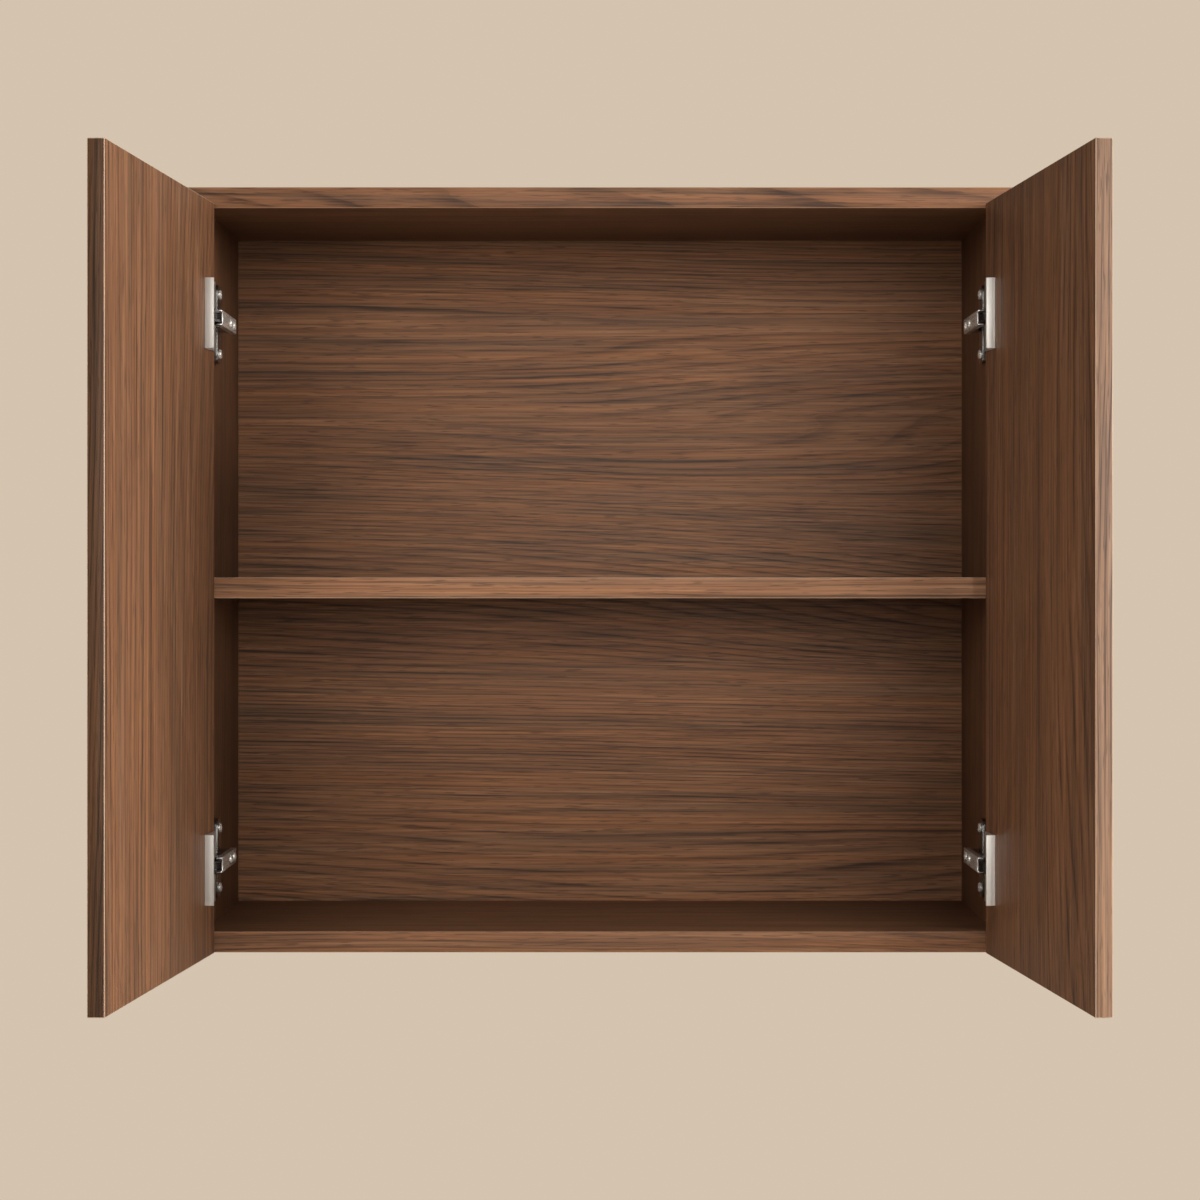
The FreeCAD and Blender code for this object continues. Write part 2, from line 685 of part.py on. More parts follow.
def hinge_cup(name, level):
    """The shallow cup let into the door, with a flange on the inner face and two ears for the pins."""
    flange_run = ("flange_from_edge", FLANGE_END)
    flange = box(name + "_flange", flange_run, ("0", "flange_sheet"), flange_rise(level))
    through = FreeCAD.Vector(0, 1, 0)
    rounded = round_corners(name + "_flange_rounded", flange, through, size("flange_corner"))
    under = "(cup_play - bore_depth)"
    floor = "(cup_play + cup_sheet - bore_depth)"
    middle = ("bore_from_edge", level)
    wall = rod(name + "_wall", "y", "bore_radius - cup_play", under, "flange_sheet", middle)
    hollow_radius = "bore_radius - cup_play - cup_sheet"
    hollow = rod(name + "_hollow", "y", hollow_radius, floor, "flange_sheet", middle)
    notch = box(
        name + "_notch",
        ("0", "bore_from_edge"),
        (floor, "flange_sheet"),
        (level + " - cup_notch_half", level + " + cup_notch_half"),
    )
    shell_cuts = [hollow, notch]
    head_hole = "cup_screw_head_radius + fit_play"
    for number, sign in both_ways:
        at = ("bore_from_edge", level + sign + "cup_screw_offset")
        code = "%s_screw%d" % (name, number)
        shell_cuts.append(rod(code + "_hole", "y", CUP_SCREW_HOLE, "0", "flange_sheet", at))
        shell_cuts.append(rod(code + "_sink", "y", head_hole, CUP_SCREW_SEAT, "flange_sheet", at))
    shell = cut(name + "_shell", fuse(name + "_solid", [rounded, wall]), shell_cuts)
    ear_run = ("ear_start", "ear_start + ear_length")
    ear_depth = (floor + " - cup_sheet / 2", "(-ear_drop)")
    ears = [
        box(name + "_ear_above", ear_run, ear_depth, (level + " + ear_inner", level + " + ear_outer")),
        box(name + "_ear_below", ear_run, ear_depth, (level + " - ear_outer", level + " - ear_inner")),
    ]
    holes = hole_pair(name + "_main_hole", main_pin, level, "ear_inner", "ear_outer")
    holes += hole_pair(name + "_second_hole", second_pin, level, "ear_inner", "ear_outer")
    return cut(name, fuse(name + "_eared", [shell] + ears), holes)


def mirrored_pair(item, label):
    """Names a left-hand piece and makes its right-hand twin."""
    finish(item, "left_" + label)
    finish(mirrored(item.Name + "_right", item), "right_" + label)


for level_name, level in (("upper", UPPER), ("lower", LOWER)):
    mirrored_pair(mounting_plate(level_name + "_plate", level), level_name + "_mounting_plate")
    mirrored_pair(hinge_arm(level_name + "_arm", level), level_name + "_hinge_arm")
    cup = hinge_cup(level_name + "_cup", level)
    cup.Placement = door_place
    mirrored_pair(cup, level_name + "_hinge_cup")
    strip_run = (FLANGE_END, FLANGE_END + " + strip_sheet")
    cover_strips.append(box(level_name + "_strip", strip_run, ("0", "strip_height"), flange_rise(level)))

    main_path = [(0, 0), main_knee, main_reach]
    above = (level + " + main_link_inner", level + " + main_link_outer")
    below = (level + " - main_link_outer", level + " - main_link_inner")
    plates = [
        link(level_name + "_main_above", main_path, "link_eye_radius", PIVOT_HOLE, *above),
        link(level_name + "_main_below", main_path, "link_eye_radius", PIVOT_HOLE, *below),
    ]
    main_link = group(level_name + "_main_link", plates)
    main_link.Placement = main_place
    mirrored_pair(main_link, level_name + "_main_link")

    second_path = [(0, 0), second_knee, second_bend, second_reach]
    middle = (level + " - second_link_half", level + " + second_link_half")
    second_link = link(level_name + "_second_link", second_path, LOOSE_EYE, LOOSE_HOLE, *middle)
    second_link.Placement = second_place
    mirrored_pair(second_link, level_name + "_second_link")

    for number, sign in both_ways:
        name = "%s_plate_screw%d" % (level_name, number)
        lengths = (PLATE_SCREW_TIP, PLATE_FACE, PLATE_FACE + " + plate_screw_head")
        at = (PLATE_Y, level + sign + "plate_screw_offset")
        plate_screws.append(screw(name, "x", "plate_screw_radius", "plate_screw_head_radius", lengths, at))
        name = "%s_cup_screw%d" % (level_name, number)
        lengths = ("(-cup_screw_length)", CUP_SCREW_SEAT, "flange_sheet")
        at = ("bore_from_edge", level + sign + "cup_screw_offset")
        cup_screws.append(screw(name, "y", "cup_screw_radius", "cup_screw_head_radius", lengths, at))
    for alias in arm_screw_setbacks:
        name = "%s_%s" % (level_name, alias)
        lengths = (PLATE_FACE, WEB_HIGH, WEB_HIGH + " + arm_screw_head")
        at = (setback(alias), level)
        arm_screws.append(screw(name, "x", "arm_screw_radius", "arm_screw_head_radius", lengths, at))

    arm_faces = (level + " - arm_half", level + " + arm_half")
    ear_faces = (level + " - ear_outer", level + " + ear_outer")
    two_heads = ("low", "high")
    link_face = "main_link_inner"
    nose_rivets += rivet_pair(level_name + "_nose_rivet", nose, level, link_face, "arm_half")
    arm_rivets.append(rivet(level_name + "_arm_rivet", second_pivot, *arm_faces, two_heads))
    cup_main_rivets += rivet_pair(level_name + "_cup_rivet", main_pin, level, link_face, "ear_outer")
    cup_second_rivets.append(rivet(level_name + "_cup_second_rivet", second_pin, *ear_faces, two_heads))

for name, pieces, label in (
    ("PlateScrews", plate_screws, "mounting_plate_screws"),
    ("ArmScrews", arm_screws, "hinge_arm_screws"),
    ("NoseRivets", nose_rivets, "nose_rivets"),
    ("ArmRivets", arm_rivets, "arm_rivets"),
):
    left = group(name, pieces)
    finish(group(name + "Both", [left, mirrored(name + "_right", left)]), label)

for item, label in (
    (door, "door_panel"),
    (tape, "mirror_tape"),
    (mirror, "mirror"),
    (group("CupScrews", cup_screws), "cup_screws"),
    (group("CoverStrips", cover_strips), "cover_strips"),
    (group("CupMainRivets", cup_main_rivets), "cup_main_rivets"),
    (group("CupSecondRivets", cup_second_rivets), "cup_second_rivets"),
):
    item.Placement = door_place
    mirrored_pair(item, label)

doc.recompute()

# Every piece must be sound before it is written
os.makedirs("parts", exist_ok=True)
for item in finished:
    shape = item.Shape
    if "Invalid" in item.State or "Error" in item.State or shape.isNull() or not shape.isValid():
        raise RuntimeError("unsound piece: " + item.Label)
    shape.exportStep(os.path.join("parts", item.Label + ".step"))
    print(item.Label, len(shape.Solids), round(shape.Volume, 1))
print(len(finished), "pieces; open door corner", [round(v, 3) for v in open_corner])
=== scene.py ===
# %% [markdown]
# # A walnut mirror cabinet with its doors open
# The real cabinet hangs on a wall: a walnut box with one shelf, and two doors that carry mirrors
# outside. The CAD parts come in first as a fixed frame. Each cell below then models one kind of piece
# over that frame, gives it a finish, and says which CAD part it stands for and which body it moves with.

# %% Load the frame
import math

import bpy
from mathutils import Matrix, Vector


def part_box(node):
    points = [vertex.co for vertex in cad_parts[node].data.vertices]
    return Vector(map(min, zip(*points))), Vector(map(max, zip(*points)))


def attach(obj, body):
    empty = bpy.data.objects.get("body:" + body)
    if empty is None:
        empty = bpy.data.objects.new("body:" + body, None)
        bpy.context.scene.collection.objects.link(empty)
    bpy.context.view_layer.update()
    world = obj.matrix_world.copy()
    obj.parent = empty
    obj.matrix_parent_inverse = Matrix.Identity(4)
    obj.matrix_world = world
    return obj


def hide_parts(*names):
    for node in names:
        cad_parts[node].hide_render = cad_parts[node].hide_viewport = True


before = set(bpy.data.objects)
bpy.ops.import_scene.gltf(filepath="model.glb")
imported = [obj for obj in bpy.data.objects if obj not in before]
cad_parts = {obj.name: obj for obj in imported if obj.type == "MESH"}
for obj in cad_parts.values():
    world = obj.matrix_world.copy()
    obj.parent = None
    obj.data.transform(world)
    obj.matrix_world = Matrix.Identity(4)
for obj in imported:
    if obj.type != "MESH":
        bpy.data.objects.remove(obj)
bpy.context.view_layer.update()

# %% [markdown]
# ## A few bench tools
# Most of the cabinet is cut from straight stock, so the same moves come back: start a block at its true
# size and place, pick some of its faces or edges, and ease the edges. They could be done each time by
# hand. As small functions they keep every later cell short, and nothing stays selected between two
# pieces.

# %% Blocks and bars
MM = 0.001
QUARTER_TURN = math.radians(90)


def start_clean():
    """Leaves edit mode with nothing selected, so that an operator acts on the next piece only."""
    if bpy.context.mode != "OBJECT":
        bpy.ops.object.mode_set(mode="OBJECT")
    bpy.ops.object.select_all(action="DESELECT")


def take(piece):
    """Selects one piece alone and makes it active."""
    start_clean()
    piece.select_set(True)
    bpy.context.view_layer.objects.active = piece


def settle(piece):
    """Moves a piece's place, turn and scale into its mesh."""
    take(piece)
    bpy.ops.object.transform_apply(location=True, rotation=True, scale=True)


def block(name, low, high):
    """A cube stretched between two corners."""
    start_clean()
    low, high = Vector(low), Vector(high)
    bpy.ops.mesh.primitive_cube_add(size=1, location=(low + high) / 2)
    piece = bpy.context.object
    piece.name = name
    piece.scale = high - low
    settle(piece)
    return piece


def round_bar(name, radius, start, end, sides=48):
    """A cylinder between two points that lie along one axis."""
    start_clean()
    start, end = Vector(start), Vector(end)
    run = end - start
    middle = (start + end) / 2
    bpy.ops.mesh.primitive_cylinder_add(vertices=sides, radius=radius, depth=run.length, location=middle)
    piece = bpy.context.object
    piece.name = name
    piece.rotation_euler = run.to_track_quat("Z", "Y").to_euler()
    settle(piece)
    return piece


print("block and round_bar start every piece")

# %% [markdown]
# ## Picking and shaping
# In the editor you would click on the faces to inset or the edges to round. A script can't click, so it
# picks by place or by direction: a small rule says yes or no for each face or edge.

# %% Picking
def pick_faces(piece, wanted):
    """Edit mode with the faces selected for which wanted(centre, normal) is true."""
    take(piece)
    bpy.ops.object.mode_set(mode="EDIT")
    bpy.ops.mesh.select_mode(type="FACE")
    bpy.ops.mesh.select_all(action="DESELECT")
    bpy.ops.object.mode_set(mode="OBJECT")
    for face in piece.data.polygons:
        face.select = wanted(face.center, face.normal)
    bpy.ops.object.mode_set(mode="EDIT")


def pick_edges(piece, wanted):
    """Edit mode with the edges selected for which wanted(middle, direction) is true."""
    take(piece)
    bpy.ops.object.mode_set(mode="EDIT")
    bpy.ops.mesh.select_mode(type="EDGE")
    bpy.ops.mesh.select_all(action="DESELECT")
    bpy.ops.object.mode_set(mode="OBJECT")
    points = piece.data.vertices
    for edge in piece.data.edges:
        start, end = points[edge.vertices[0]].co, points[edge.vertices[1]].co
        edge.select = wanted((start + end) / 2, (end - start).normalized())
    bpy.ops.object.mode_set(mode="EDIT")


def finish_faces(piece, place, wanted):
    """Gives the picked faces the finish at that place in the piece's list."""
    pick_faces(piece, wanted)
    piece.active_material_index = place
    bpy.ops.object.material_slot_assign()
    start_clean()


print("faces and edges are picked by rule")

# %% Carving and easing
def round_corners(piece, axis, radius, steps=6):
    """Rounds the edges that run along one axis."""
    pick_edges(piece, lambda middle, direction: abs(direction[axis]) > 0.99)
    bpy.ops.mesh.bevel(offset=radius, segments=steps, affect="EDGES")
    start_clean()


def ease_edges(piece, width, steps=2, sharpness=35):
    """Sands or deburrs all sharp edges; the narrow faces take the piece's second finish, if it has one."""
    take(piece)
    bpy.ops.object.mode_set(mode="EDIT")
    bpy.ops.mesh.select_mode(type="EDGE")
    bpy.ops.mesh.select_all(action="DESELECT")
    bpy.ops.mesh.edges_select_sharp(sharpness=math.radians(sharpness))
    second = 1 if len(piece.material_slots) > 1 else -1
    bpy.ops.mesh.bevel(offset=width, segments=steps, affect="EDGES", clamp_overlap=True, material=second)
    take(piece)
    bpy.ops.object.shade_smooth_by_angle(angle=math.radians(40))


def shape_with(piece, tool, operation):
    """Cuts a tool out of a piece, or joins it on, and clears the tool away."""
    take(piece)
    change = piece.modifiers.new("shape", "BOOLEAN")
    change.operation = operation
    change.solver = "EXACT"
    change.object = tool
    bpy.ops.object.modifier_apply(modifier=change.name)
    bpy.data.objects.remove(tool)


def carve(piece, tool):
    shape_with(piece, tool, "DIFFERENCE")


def weld_on(piece, tool):
    shape_with(piece, tool, "UNION")


print("carving and easing tools are ready")

# %% [markdown]
# ## Copies
# Left and right are mirror images, and the hinges repeat at two heights. A mirrored copy has its mesh
# turned inside out, so its faces are made to point outwards again.

# %% Copies
def copy_of(piece, name):
    take(piece)
    bpy.ops.object.duplicate(linked=False)
    twin = bpy.context.object
    twin.name = name
    return twin


def mirrored_copy(piece, name):
    """A copy on the other side of the cabinet's middle."""
    twin = copy_of(piece, name)
    twin.scale.x = -1
    settle(twin)
    bpy.ops.object.mode_set(mode="EDIT")
    bpy.ops.mesh.select_all(action="SELECT")
    bpy.ops.mesh.normals_make_consistent(inside=False)
    start_clean()
    return twin


def joined(pieces, name):
    """Several solids as one piece."""
    start_clean()
    for piece in pieces:
        piece.select_set(True)
    bpy.context.view_layer.objects.active = pieces[0]
    bpy.ops.object.join()
    pieces[0].name = name
    return pieces[0]


def place_piece(piece, body, slot, *nodes):
    """Says what a finished piece moves with and which CAD parts it stands for; slot is not used."""
    start_clean()
    piece.data.name = piece.name
    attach(piece, body)
    if nodes:
        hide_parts(*nodes)


print("copies keep their own mesh")

# %% [markdown]
# ## Node helpers for finishes
# A finish is a small tree of nodes. Each helper adds one node and gives back the socket that the next
# one reads, so that a finish can be written down in the order in which it is thought of.

# %% Coordinates and noise
def new_finish(name):
    finish = bpy.data.materials.new(name)
    finish.use_nodes = True
    return finish, finish.node_tree, finish.node_tree.nodes["Principled BSDF"]


def grain_space(tree, turn, shift):
    """Object coordinates turned so that the fibres run along X, and shifted to another part of the log."""
    place = tree.nodes.new("ShaderNodeTexCoord")
    mapping = tree.nodes.new("ShaderNodeMapping")
    mapping.inputs["Rotation"].default_value = turn
    mapping.inputs["Location"].default_value = shift
    tree.links.new(place.outputs["Object"], mapping.inputs["Vector"])
    return mapping.outputs["Vector"]


def scaled(tree, space, scale):
    """Coordinates multiplied along each axis."""
    mapping = tree.nodes.new("ShaderNodeMapping")
    mapping.inputs["Scale"].default_value = scale
    tree.links.new(space, mapping.inputs["Vector"])
    return mapping.outputs["Vector"]


def stretched_noise(tree, space, scale, detail=3, roughness=0.55):
    """Noise with its own scale along and across the grain, in cells per metre."""
    noise = tree.nodes.new("ShaderNodeTexNoise")
    noise.inputs["Scale"].default_value = 1
    noise.inputs["Detail"].default_value = detail
    noise.inputs["Roughness"].default_value = roughness
    tree.links.new(scaled(tree, space, scale), noise.inputs["Vector"])
    return noise.outputs["Fac"]


print("patterns start from object coordinates")

# %% Sums, colours and relief
def sum_up(tree, operation, *inputs):
    """A math node; inputs are sockets or plain numbers."""
    node = tree.nodes.new("ShaderNodeMath")
    node.operation = operation
    for socket, value in zip(node.inputs, inputs):
        if isinstance(value, (int, float)):
            socket.default_value = value
        else:
            tree.links.new(value, socket)
    return node.outputs[0]


def spread(tree, value, low, high, to_low=0.0, to_high=1.0):
    """Maps a range of values to another range, clamped."""
    node = tree.nodes.new("ShaderNodeMapRange")
    limits = {"From Min": low, "From Max": high, "To Min": to_low, "To Max": to_high}
    for name, number in limits.items():
        node.inputs[name].default_value = number
    tree.links.new(value, node.inputs["Value"])
    return node.outputs["Result"]


def colours(tree, value, stops):
    """A colour ramp from (position, colour) stops."""
    ramp = tree.nodes.new("ShaderNodeValToRGB")
    elements = ramp.color_ramp.elements
    elements.remove(elements[1])
    elements[0].position = stops[0][0]
    elements[0].color = (*stops[0][1], 1)
    for position, colour in stops[1:]:
        elements.new(position).color = (*colour, 1)
    tree.links.new(value, ramp.inputs["Fac"])
    return ramp.outputs["Color"]


def blend(tree, amount, first, second, kind="MIX"):
    """Mixes two colours; a plain colour may stand for either."""
    node = tree.nodes.new("ShaderNodeMix")
    node.data_type = "RGBA"
    node.blend_type = kind
    for socket, value in ((node.inputs[0], amount), (node.inputs[6], first), (node.inputs[7], second)):
        if isinstance(value, (int, float)):
            socket.default_value = value
        elif isinstance(value, tuple):
            socket.default_value = (*value, 1)
        else:
            tree.links.new(value, socket)
    return node.outputs[2]


def raise_surface(tree, shader, height, distance, strength):
    """Fine relief: distance is its depth in metres."""
    bump = tree.nodes.new("ShaderNodeBump")
    bump.inputs["Distance"].default_value = distance
    bump.inputs["Strength"].default_value = strength
    tree.links.new(height, bump.inputs["Height"])
    tree.links.new(bump.outputs["Normal"], shader.inputs["Normal"])


def mottled(name, tints, cells, detail, roughness, turn=(0, 0, 0)):
    """A finish that wanders between two tints, with so many cells per metre along and across its grain."""
    finish, tree, shader = new_finish(name)
    wander = stretched_noise(tree, grain_space(tree, turn, (0, 0, 0)), cells, detail=detail)
    tint = colours(tree, wander, [(0.3, tints[0]), (0.7, tints[1])])
    tree.links.new(tint, shader.inputs["Base Color"])
    shader.inputs["Roughness"].default_value = roughness
    return finish


print("node helpers are ready")

# %% [markdown]
# ## Walnut veneer
# The boards wear sliced walnut: long dark lines where the knife met each year's late wood, pointed
# arches where it ran nearly along a ring, and fine open pores. A wave pattern alone gives even stripes
# that look printed. Here the rings are counted across a grain that slow noise has bent sideways, so that
# arches form by themselves and no two boards are alike. Streaks, hairlines, fibres and pores are finer
# noise, stretched along the same kind of bent grain.

# %% Grain
ALONG_X = (0, 0, 0)
ALONG_Z = (0, QUARTER_TURN, 0)
ARCH_REACH = 98 * MM
STREAK_REACH = 45 * MM
WAVE_REACH = 3.5 * MM
RINGS_PER_METRE = 230
RING_SLANT = 0.91
LATE_WOOD = ((0.0, 0.5), (0.10, 0.10), (0.40, 0.0), (0.66, 0.12), (0.84, 0.65), (0.94, 1.0))


def bent_grain(tree, space, sweep_reach):
    """The grain space with its lines bent sideways, in slow sweeps and in small waves."""
    sweep = stretched_noise(tree, space, (0.8, 7, 7), detail=0.6, roughness=0.4)
    wave = stretched_noise(tree, space, (3.6, 30, 30), detail=2, roughness=0.5)
    bend = sum_up(tree, "MULTIPLY", sweep, sweep_reach)
    bend = sum_up(tree, "MULTIPLY_ADD", wave, WAVE_REACH, bend)
    sideways = tree.nodes.new("ShaderNodeCombineXYZ")
    tree.links.new(bend, sideways.inputs["Y"])
    tree.links.new(bend, sideways.inputs["Z"])
    moved = tree.nodes.new("ShaderNodeVectorMath")
    tree.links.new(space, moved.inputs[0])
    tree.links.new(sideways.outputs["Vector"], moved.inputs[1])
    return moved.outputs["Vector"]


def year_rings(tree, space):
    """How far each point lies within its year's growth, from 0 to 1."""
    parts = tree.nodes.new("ShaderNodeSeparateXYZ")
    tree.links.new(space, parts.inputs[0])
    across = sum_up(tree, "MULTIPLY_ADD", parts.outputs["Z"], RING_SLANT, parts.outputs["Y"])
    return sum_up(tree, "FRACT", sum_up(tree, "MULTIPLY", across, RINGS_PER_METRE))


def late_wood(tree, space, wavy):
    """How dark the late wood of each year is, from 0 to 1, stronger in some stretches than in others."""
    arched = bent_grain(tree, space, ARCH_REACH)
    lines = colours(tree, year_rings(tree, arched), [(place, (level,) * 3) for place, level in LATE_WOOD])
    stretches = stretched_noise(tree, wavy, (1.2, 60, 60), detail=2)
    return sum_up(tree, "MULTIPLY", lines, spread(tree, stretches, 0.34, 0.64, 0.4, 1.0))


print("grain:", RINGS_PER_METRE, "rings to the metre")

# %% Walnut
WALNUT_DARK = (0.050, 0.028, 0.019)
WALNUT_MID = (0.169, 0.082, 0.043)
WALNUT_LIGHT = (0.280, 0.141, 0.074)
RED_STREAK = (1.0, 0.92, 0.83)
GREY_STREAK = (0.84, 0.92, 0.98)
MEAN_SHADE = 0.585
LATE_WOOD_WEIGHT = -0.40


def walnut(name, turn, shift, tone=(1, 1, 1), fineness=1.0):
    """Satin oiled walnut veneer; tone lightens or darkens the whole sheet, in red, green and blue.

    A fineness under 1 widens the grain, as on a sheet sliced more nearly along the rings.
    """
    finish, tree, shader = new_finish(name)
    space = scaled(tree, grain_space(tree, turn, shift), (1, fineness, fineness))
    wavy = bent_grain(tree, space, STREAK_REACH)
    streak = stretched_noise(tree, wavy, (1.6, 190, 190), detail=3, roughness=0.6)
    hairline = stretched_noise(tree, wavy, (3.2, 560, 560), detail=3, roughness=0.65)
    fibre = stretched_noise(tree, wavy, (12, 1000, 1000), detail=2, roughness=0.6)
    cloud = stretched_noise(tree, wavy, (3, 16, 16), detail=3)
    warmth = stretched_noise(tree, wavy, (2.6, 190, 190), detail=3, roughness=0.6)
    pores = stretched_noise(tree, wavy, (50, 1000, 1000), detail=1.5, roughness=0.5)

    shade = sum_up(tree, "MULTIPLY_ADD", late_wood(tree, space, wavy), LATE_WOOD_WEIGHT, MEAN_SHADE)
    layers = ((streak, 0.27, 0.20), (hairline, 0.27, 0.28), (cloud, 0.3, 0.10), (fibre, 0.3, 0.20))
    for layer, lowest, weight in layers:
        level = spread(tree, layer, lowest, 1 - lowest, -1, 1)
        shade = sum_up(tree, "MULTIPLY_ADD", level, weight, shade)
    sheet_colours = (WALNUT_DARK, WALNUT_MID, WALNUT_LIGHT)
    dark, mid, light = (tuple(c * t for c, t in zip(colour, tone)) for colour in sheet_colours)
    wood = colours(tree, shade, [(0.02, dark), (0.50, mid), (0.98, light)])
    wood = blend(tree, spread(tree, warmth, 0.48, 0.66), wood, RED_STREAK, "MULTIPLY")
    wood = blend(tree, spread(tree, warmth, 0.48, 0.34), wood, GREY_STREAK, "MULTIPLY")
    pore_depth = spread(tree, pores, 0.59, 0.69)
    wood = blend(tree, sum_up(tree, "MULTIPLY", pore_depth, 0.6), wood, dark)
    tree.links.new(wood, shader.inputs["Base Color"])

    tree.links.new(spread(tree, hairline, 0.3, 0.7, 0.46, 0.60), shader.inputs["Roughness"])
    shader.inputs["Specular IOR Level"].default_value = 0.25
    relief = sum_up(tree, "SUBTRACT", fibre, pore_depth)
    raise_surface(tree, shader, relief, distance=0.06 * MM, strength=0.5)
    return finish


print("walnut is ready to be sliced")

# %% [markdown]
# ## Sheets and edge bands
# The top, the bottom and the shelf come from one log, and the sides, the back and the doors from others,
# each a little lighter or darker than the next. One sheet for all would be simpler, but the box would
# look carved from a single block. The top is the bottom's own slice made darker, and the sides are
# darker too: that is painted shade, for the dim underside of the top and the shaded inner faces of the
# sides. The doors' free edges and the shelf's front are covered with bands: on the left door a darker
# copy of the walnut, which is painted shade, on the right door a paler and greyer copy, which is a
# painted sheen, and light wood on the shelf.

# %% Walnut sheets
flat_walnut = walnut("walnut_lengthwise", ALONG_X, (0.31, 0.12, 0.05))
# The top: the same slice as the bottom, darkened as painted shade.
shaded_top_walnut = walnut("walnut_top_painted_shade", ALONG_X, (0.31, 0.12, 0.05), tone=(0.87, 0.85, 0.84))
back_walnut = walnut("walnut_back", ALONG_X, (0.2, 1.3, 0.5))
# The sides are darkened all over: painted shade for their shaded inner faces.
side_shade_tone = (0.71, 0.68, 0.65)
shaded_upright_walnut = walnut("walnut_upright_painted_shade", ALONG_Z, (0.11, 0.43, 0.27), tone=side_shade_tone, fineness=0.6)
door_tone = (1.07, 1.07, 1.07)
door_walnut = walnut("walnut_door", ALONG_Z, (0.52, 0.21, 0.73), tone=door_tone, fineness=0.62)
# The left door's edge band: a dark copy of the walnut, painted shade.
shaded_edge_band = walnut("walnut_painted_shade_edge_band", ALONG_Z, (0.2, 0.5, 0.1), tone=(0.38, 0.38, 0.36))
# The right door's edge band: a paler, greyer copy of the walnut, a painted sheen.
sheen_edge_band = walnut("walnut_painted_sheen_edge_band", ALONG_Z, (0.7, 0.3, 0.9), tone=(1.2, 1.5, 1.9))
shelf_band = walnut("walnut_shelf_edge_band", ALONG_X, (0.4, 0.8, 0.6), tone=(1.5, 1.55, 1.6))
print("walnut sheets:", [finish.name for finish in bpy.data.materials if "walnut" in finish.name])

# %% [markdown]
# ## Sanded corners
# Where a board's corner is sanded, the oil wears thin and the wood shows paler. The eased faces of the
# shelf and the doors are much paler still: bare sanded wood, with a painted highlight along each edge.
# The easing tool gives those narrow faces this second finish.

# %% Sanded arris
SANDED = ((0.20, 0.105, 0.06), (0.34, 0.20, 0.125))
# The shelf's and doors' edges: sanded wood painted paler still, a painted highlight.
SANDED_WITH_HIGHLIGHT = ((0.30, 0.20, 0.14), (0.50, 0.37, 0.28))


def sanded_and_highlight_walnut(name, turn, tints):
    """Wood for eased edges, streaked between two tints: bare sanded wood, with a painted highlight in the
    pale tints.
    """
    return mottled(name, tints, cells=(5, 160, 160), detail=3, roughness=0.5, turn=turn)


flat_arris = sanded_and_highlight_walnut("walnut_arris_lengthwise", ALONG_X, SANDED)
upright_arris = sanded_and_highlight_walnut("walnut_arris_upright", ALONG_Z, SANDED)
shelf_arris_highlight = sanded_and_highlight_walnut("walnut_arris_shelf_highlight", ALONG_X, SANDED_WITH_HIGHLIGHT)
door_arris_highlight = sanded_and_highlight_walnut("walnut_arris_door_highlight", ALONG_Z, SANDED_WITH_HIGHLIGHT)
print("arris finishes:", [finish.name for finish in bpy.data.materials if "arris" in finish.name])

# %% [markdown]
# ## Top, bottom, sides and back
# Fifteen millimetre board, glued and dowelled at the corners, with the back panel let into grooves. Each
# board starts as a block over its CAD part. Every edge is then eased by under half a millimetre: without
# it no edge would catch the light, and the box would look like a drawing.

# %% Carcass boards
ARRIS = 0.45 * MM


def board(name, node, veneer, arris):
    """A carcass board over its CAD part, eased all round."""
    piece = block(name, *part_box(node))
    piece.data.materials.append(veneer)
    piece.data.materials.append(arris)
    ease_edges(piece, ARRIS)
    place_piece(piece, "carcass", "walnut", node)


board("top_board", "top_panel", shaded_top_walnut, flat_arris)
board("bottom_board", "bottom_panel", flat_walnut, flat_arris)
board("left_side_board", "left_side_panel", shaded_upright_walnut, upright_arris)
board("right_side_board", "right_side_panel", shaded_upright_walnut, upright_arris)
board("back_board", "back_panel", back_walnut, flat_arris)
print("carcass boards eased by", ARRIS / MM, "mm")

# %% [markdown]
# ## Shelf
# A loose board. Four pins in the sides carry it, and they sit in short notches in its underside so that
# they don't show. The notches are carved with small blocks before the edges are eased.

# %% Shelf
shelf_low, shelf_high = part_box("shelf")
pin_low, pin_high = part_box("shelf_supports")
notch_height = 6 * MM
notch_length = 9.3 * MM
notch_half = 2.8 * MM
pin_radius = 2.5 * MM
side_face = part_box("right_side_panel")[0][0]
shelf_board = block("shelf_board", shelf_low, shelf_high)
shelf_board.data.materials.append(flat_walnut)
shelf_board.data.materials.append(shelf_arris_highlight)
for pin_y in (pin_low[1] + pin_radius, pin_high[1] - pin_radius):
    for side in (-1, 1):
        ends = sorted((side * (side_face - notch_length), side * (side_face + notch_length)))
        low = (ends[0], pin_y - notch_half, shelf_low[2] - notch_height)
        high = (ends[1], pin_y + notch_half, shelf_low[2] + notch_height)
        carve(shelf_board, block("notch", low, high))
ease_edges(shelf_board, ARRIS)
shelf_board.data.materials.append(shelf_band)
finish_faces(shelf_board, 2, lambda centre, normal: normal.y < -0.99 and centre.y < shelf_low[1] + MM)
place_piece(shelf_board, "shelf", "walnut", "shelf")
print("shelf:", len(shelf_board.data.polygons), "faces")

# %% [markdown]
# ## Doors
# Eleven millimetre board with a shallow rebate on the outer face for the mirror and two round bores for
# the hinge cups. The door is easiest to make as if it were closed at the origin, with its hinge edge at
# x = 0 and its inner face at y = 0: the rebate is an inset and a push inwards, and the bores are carved.
# Then it is turned to its open place.

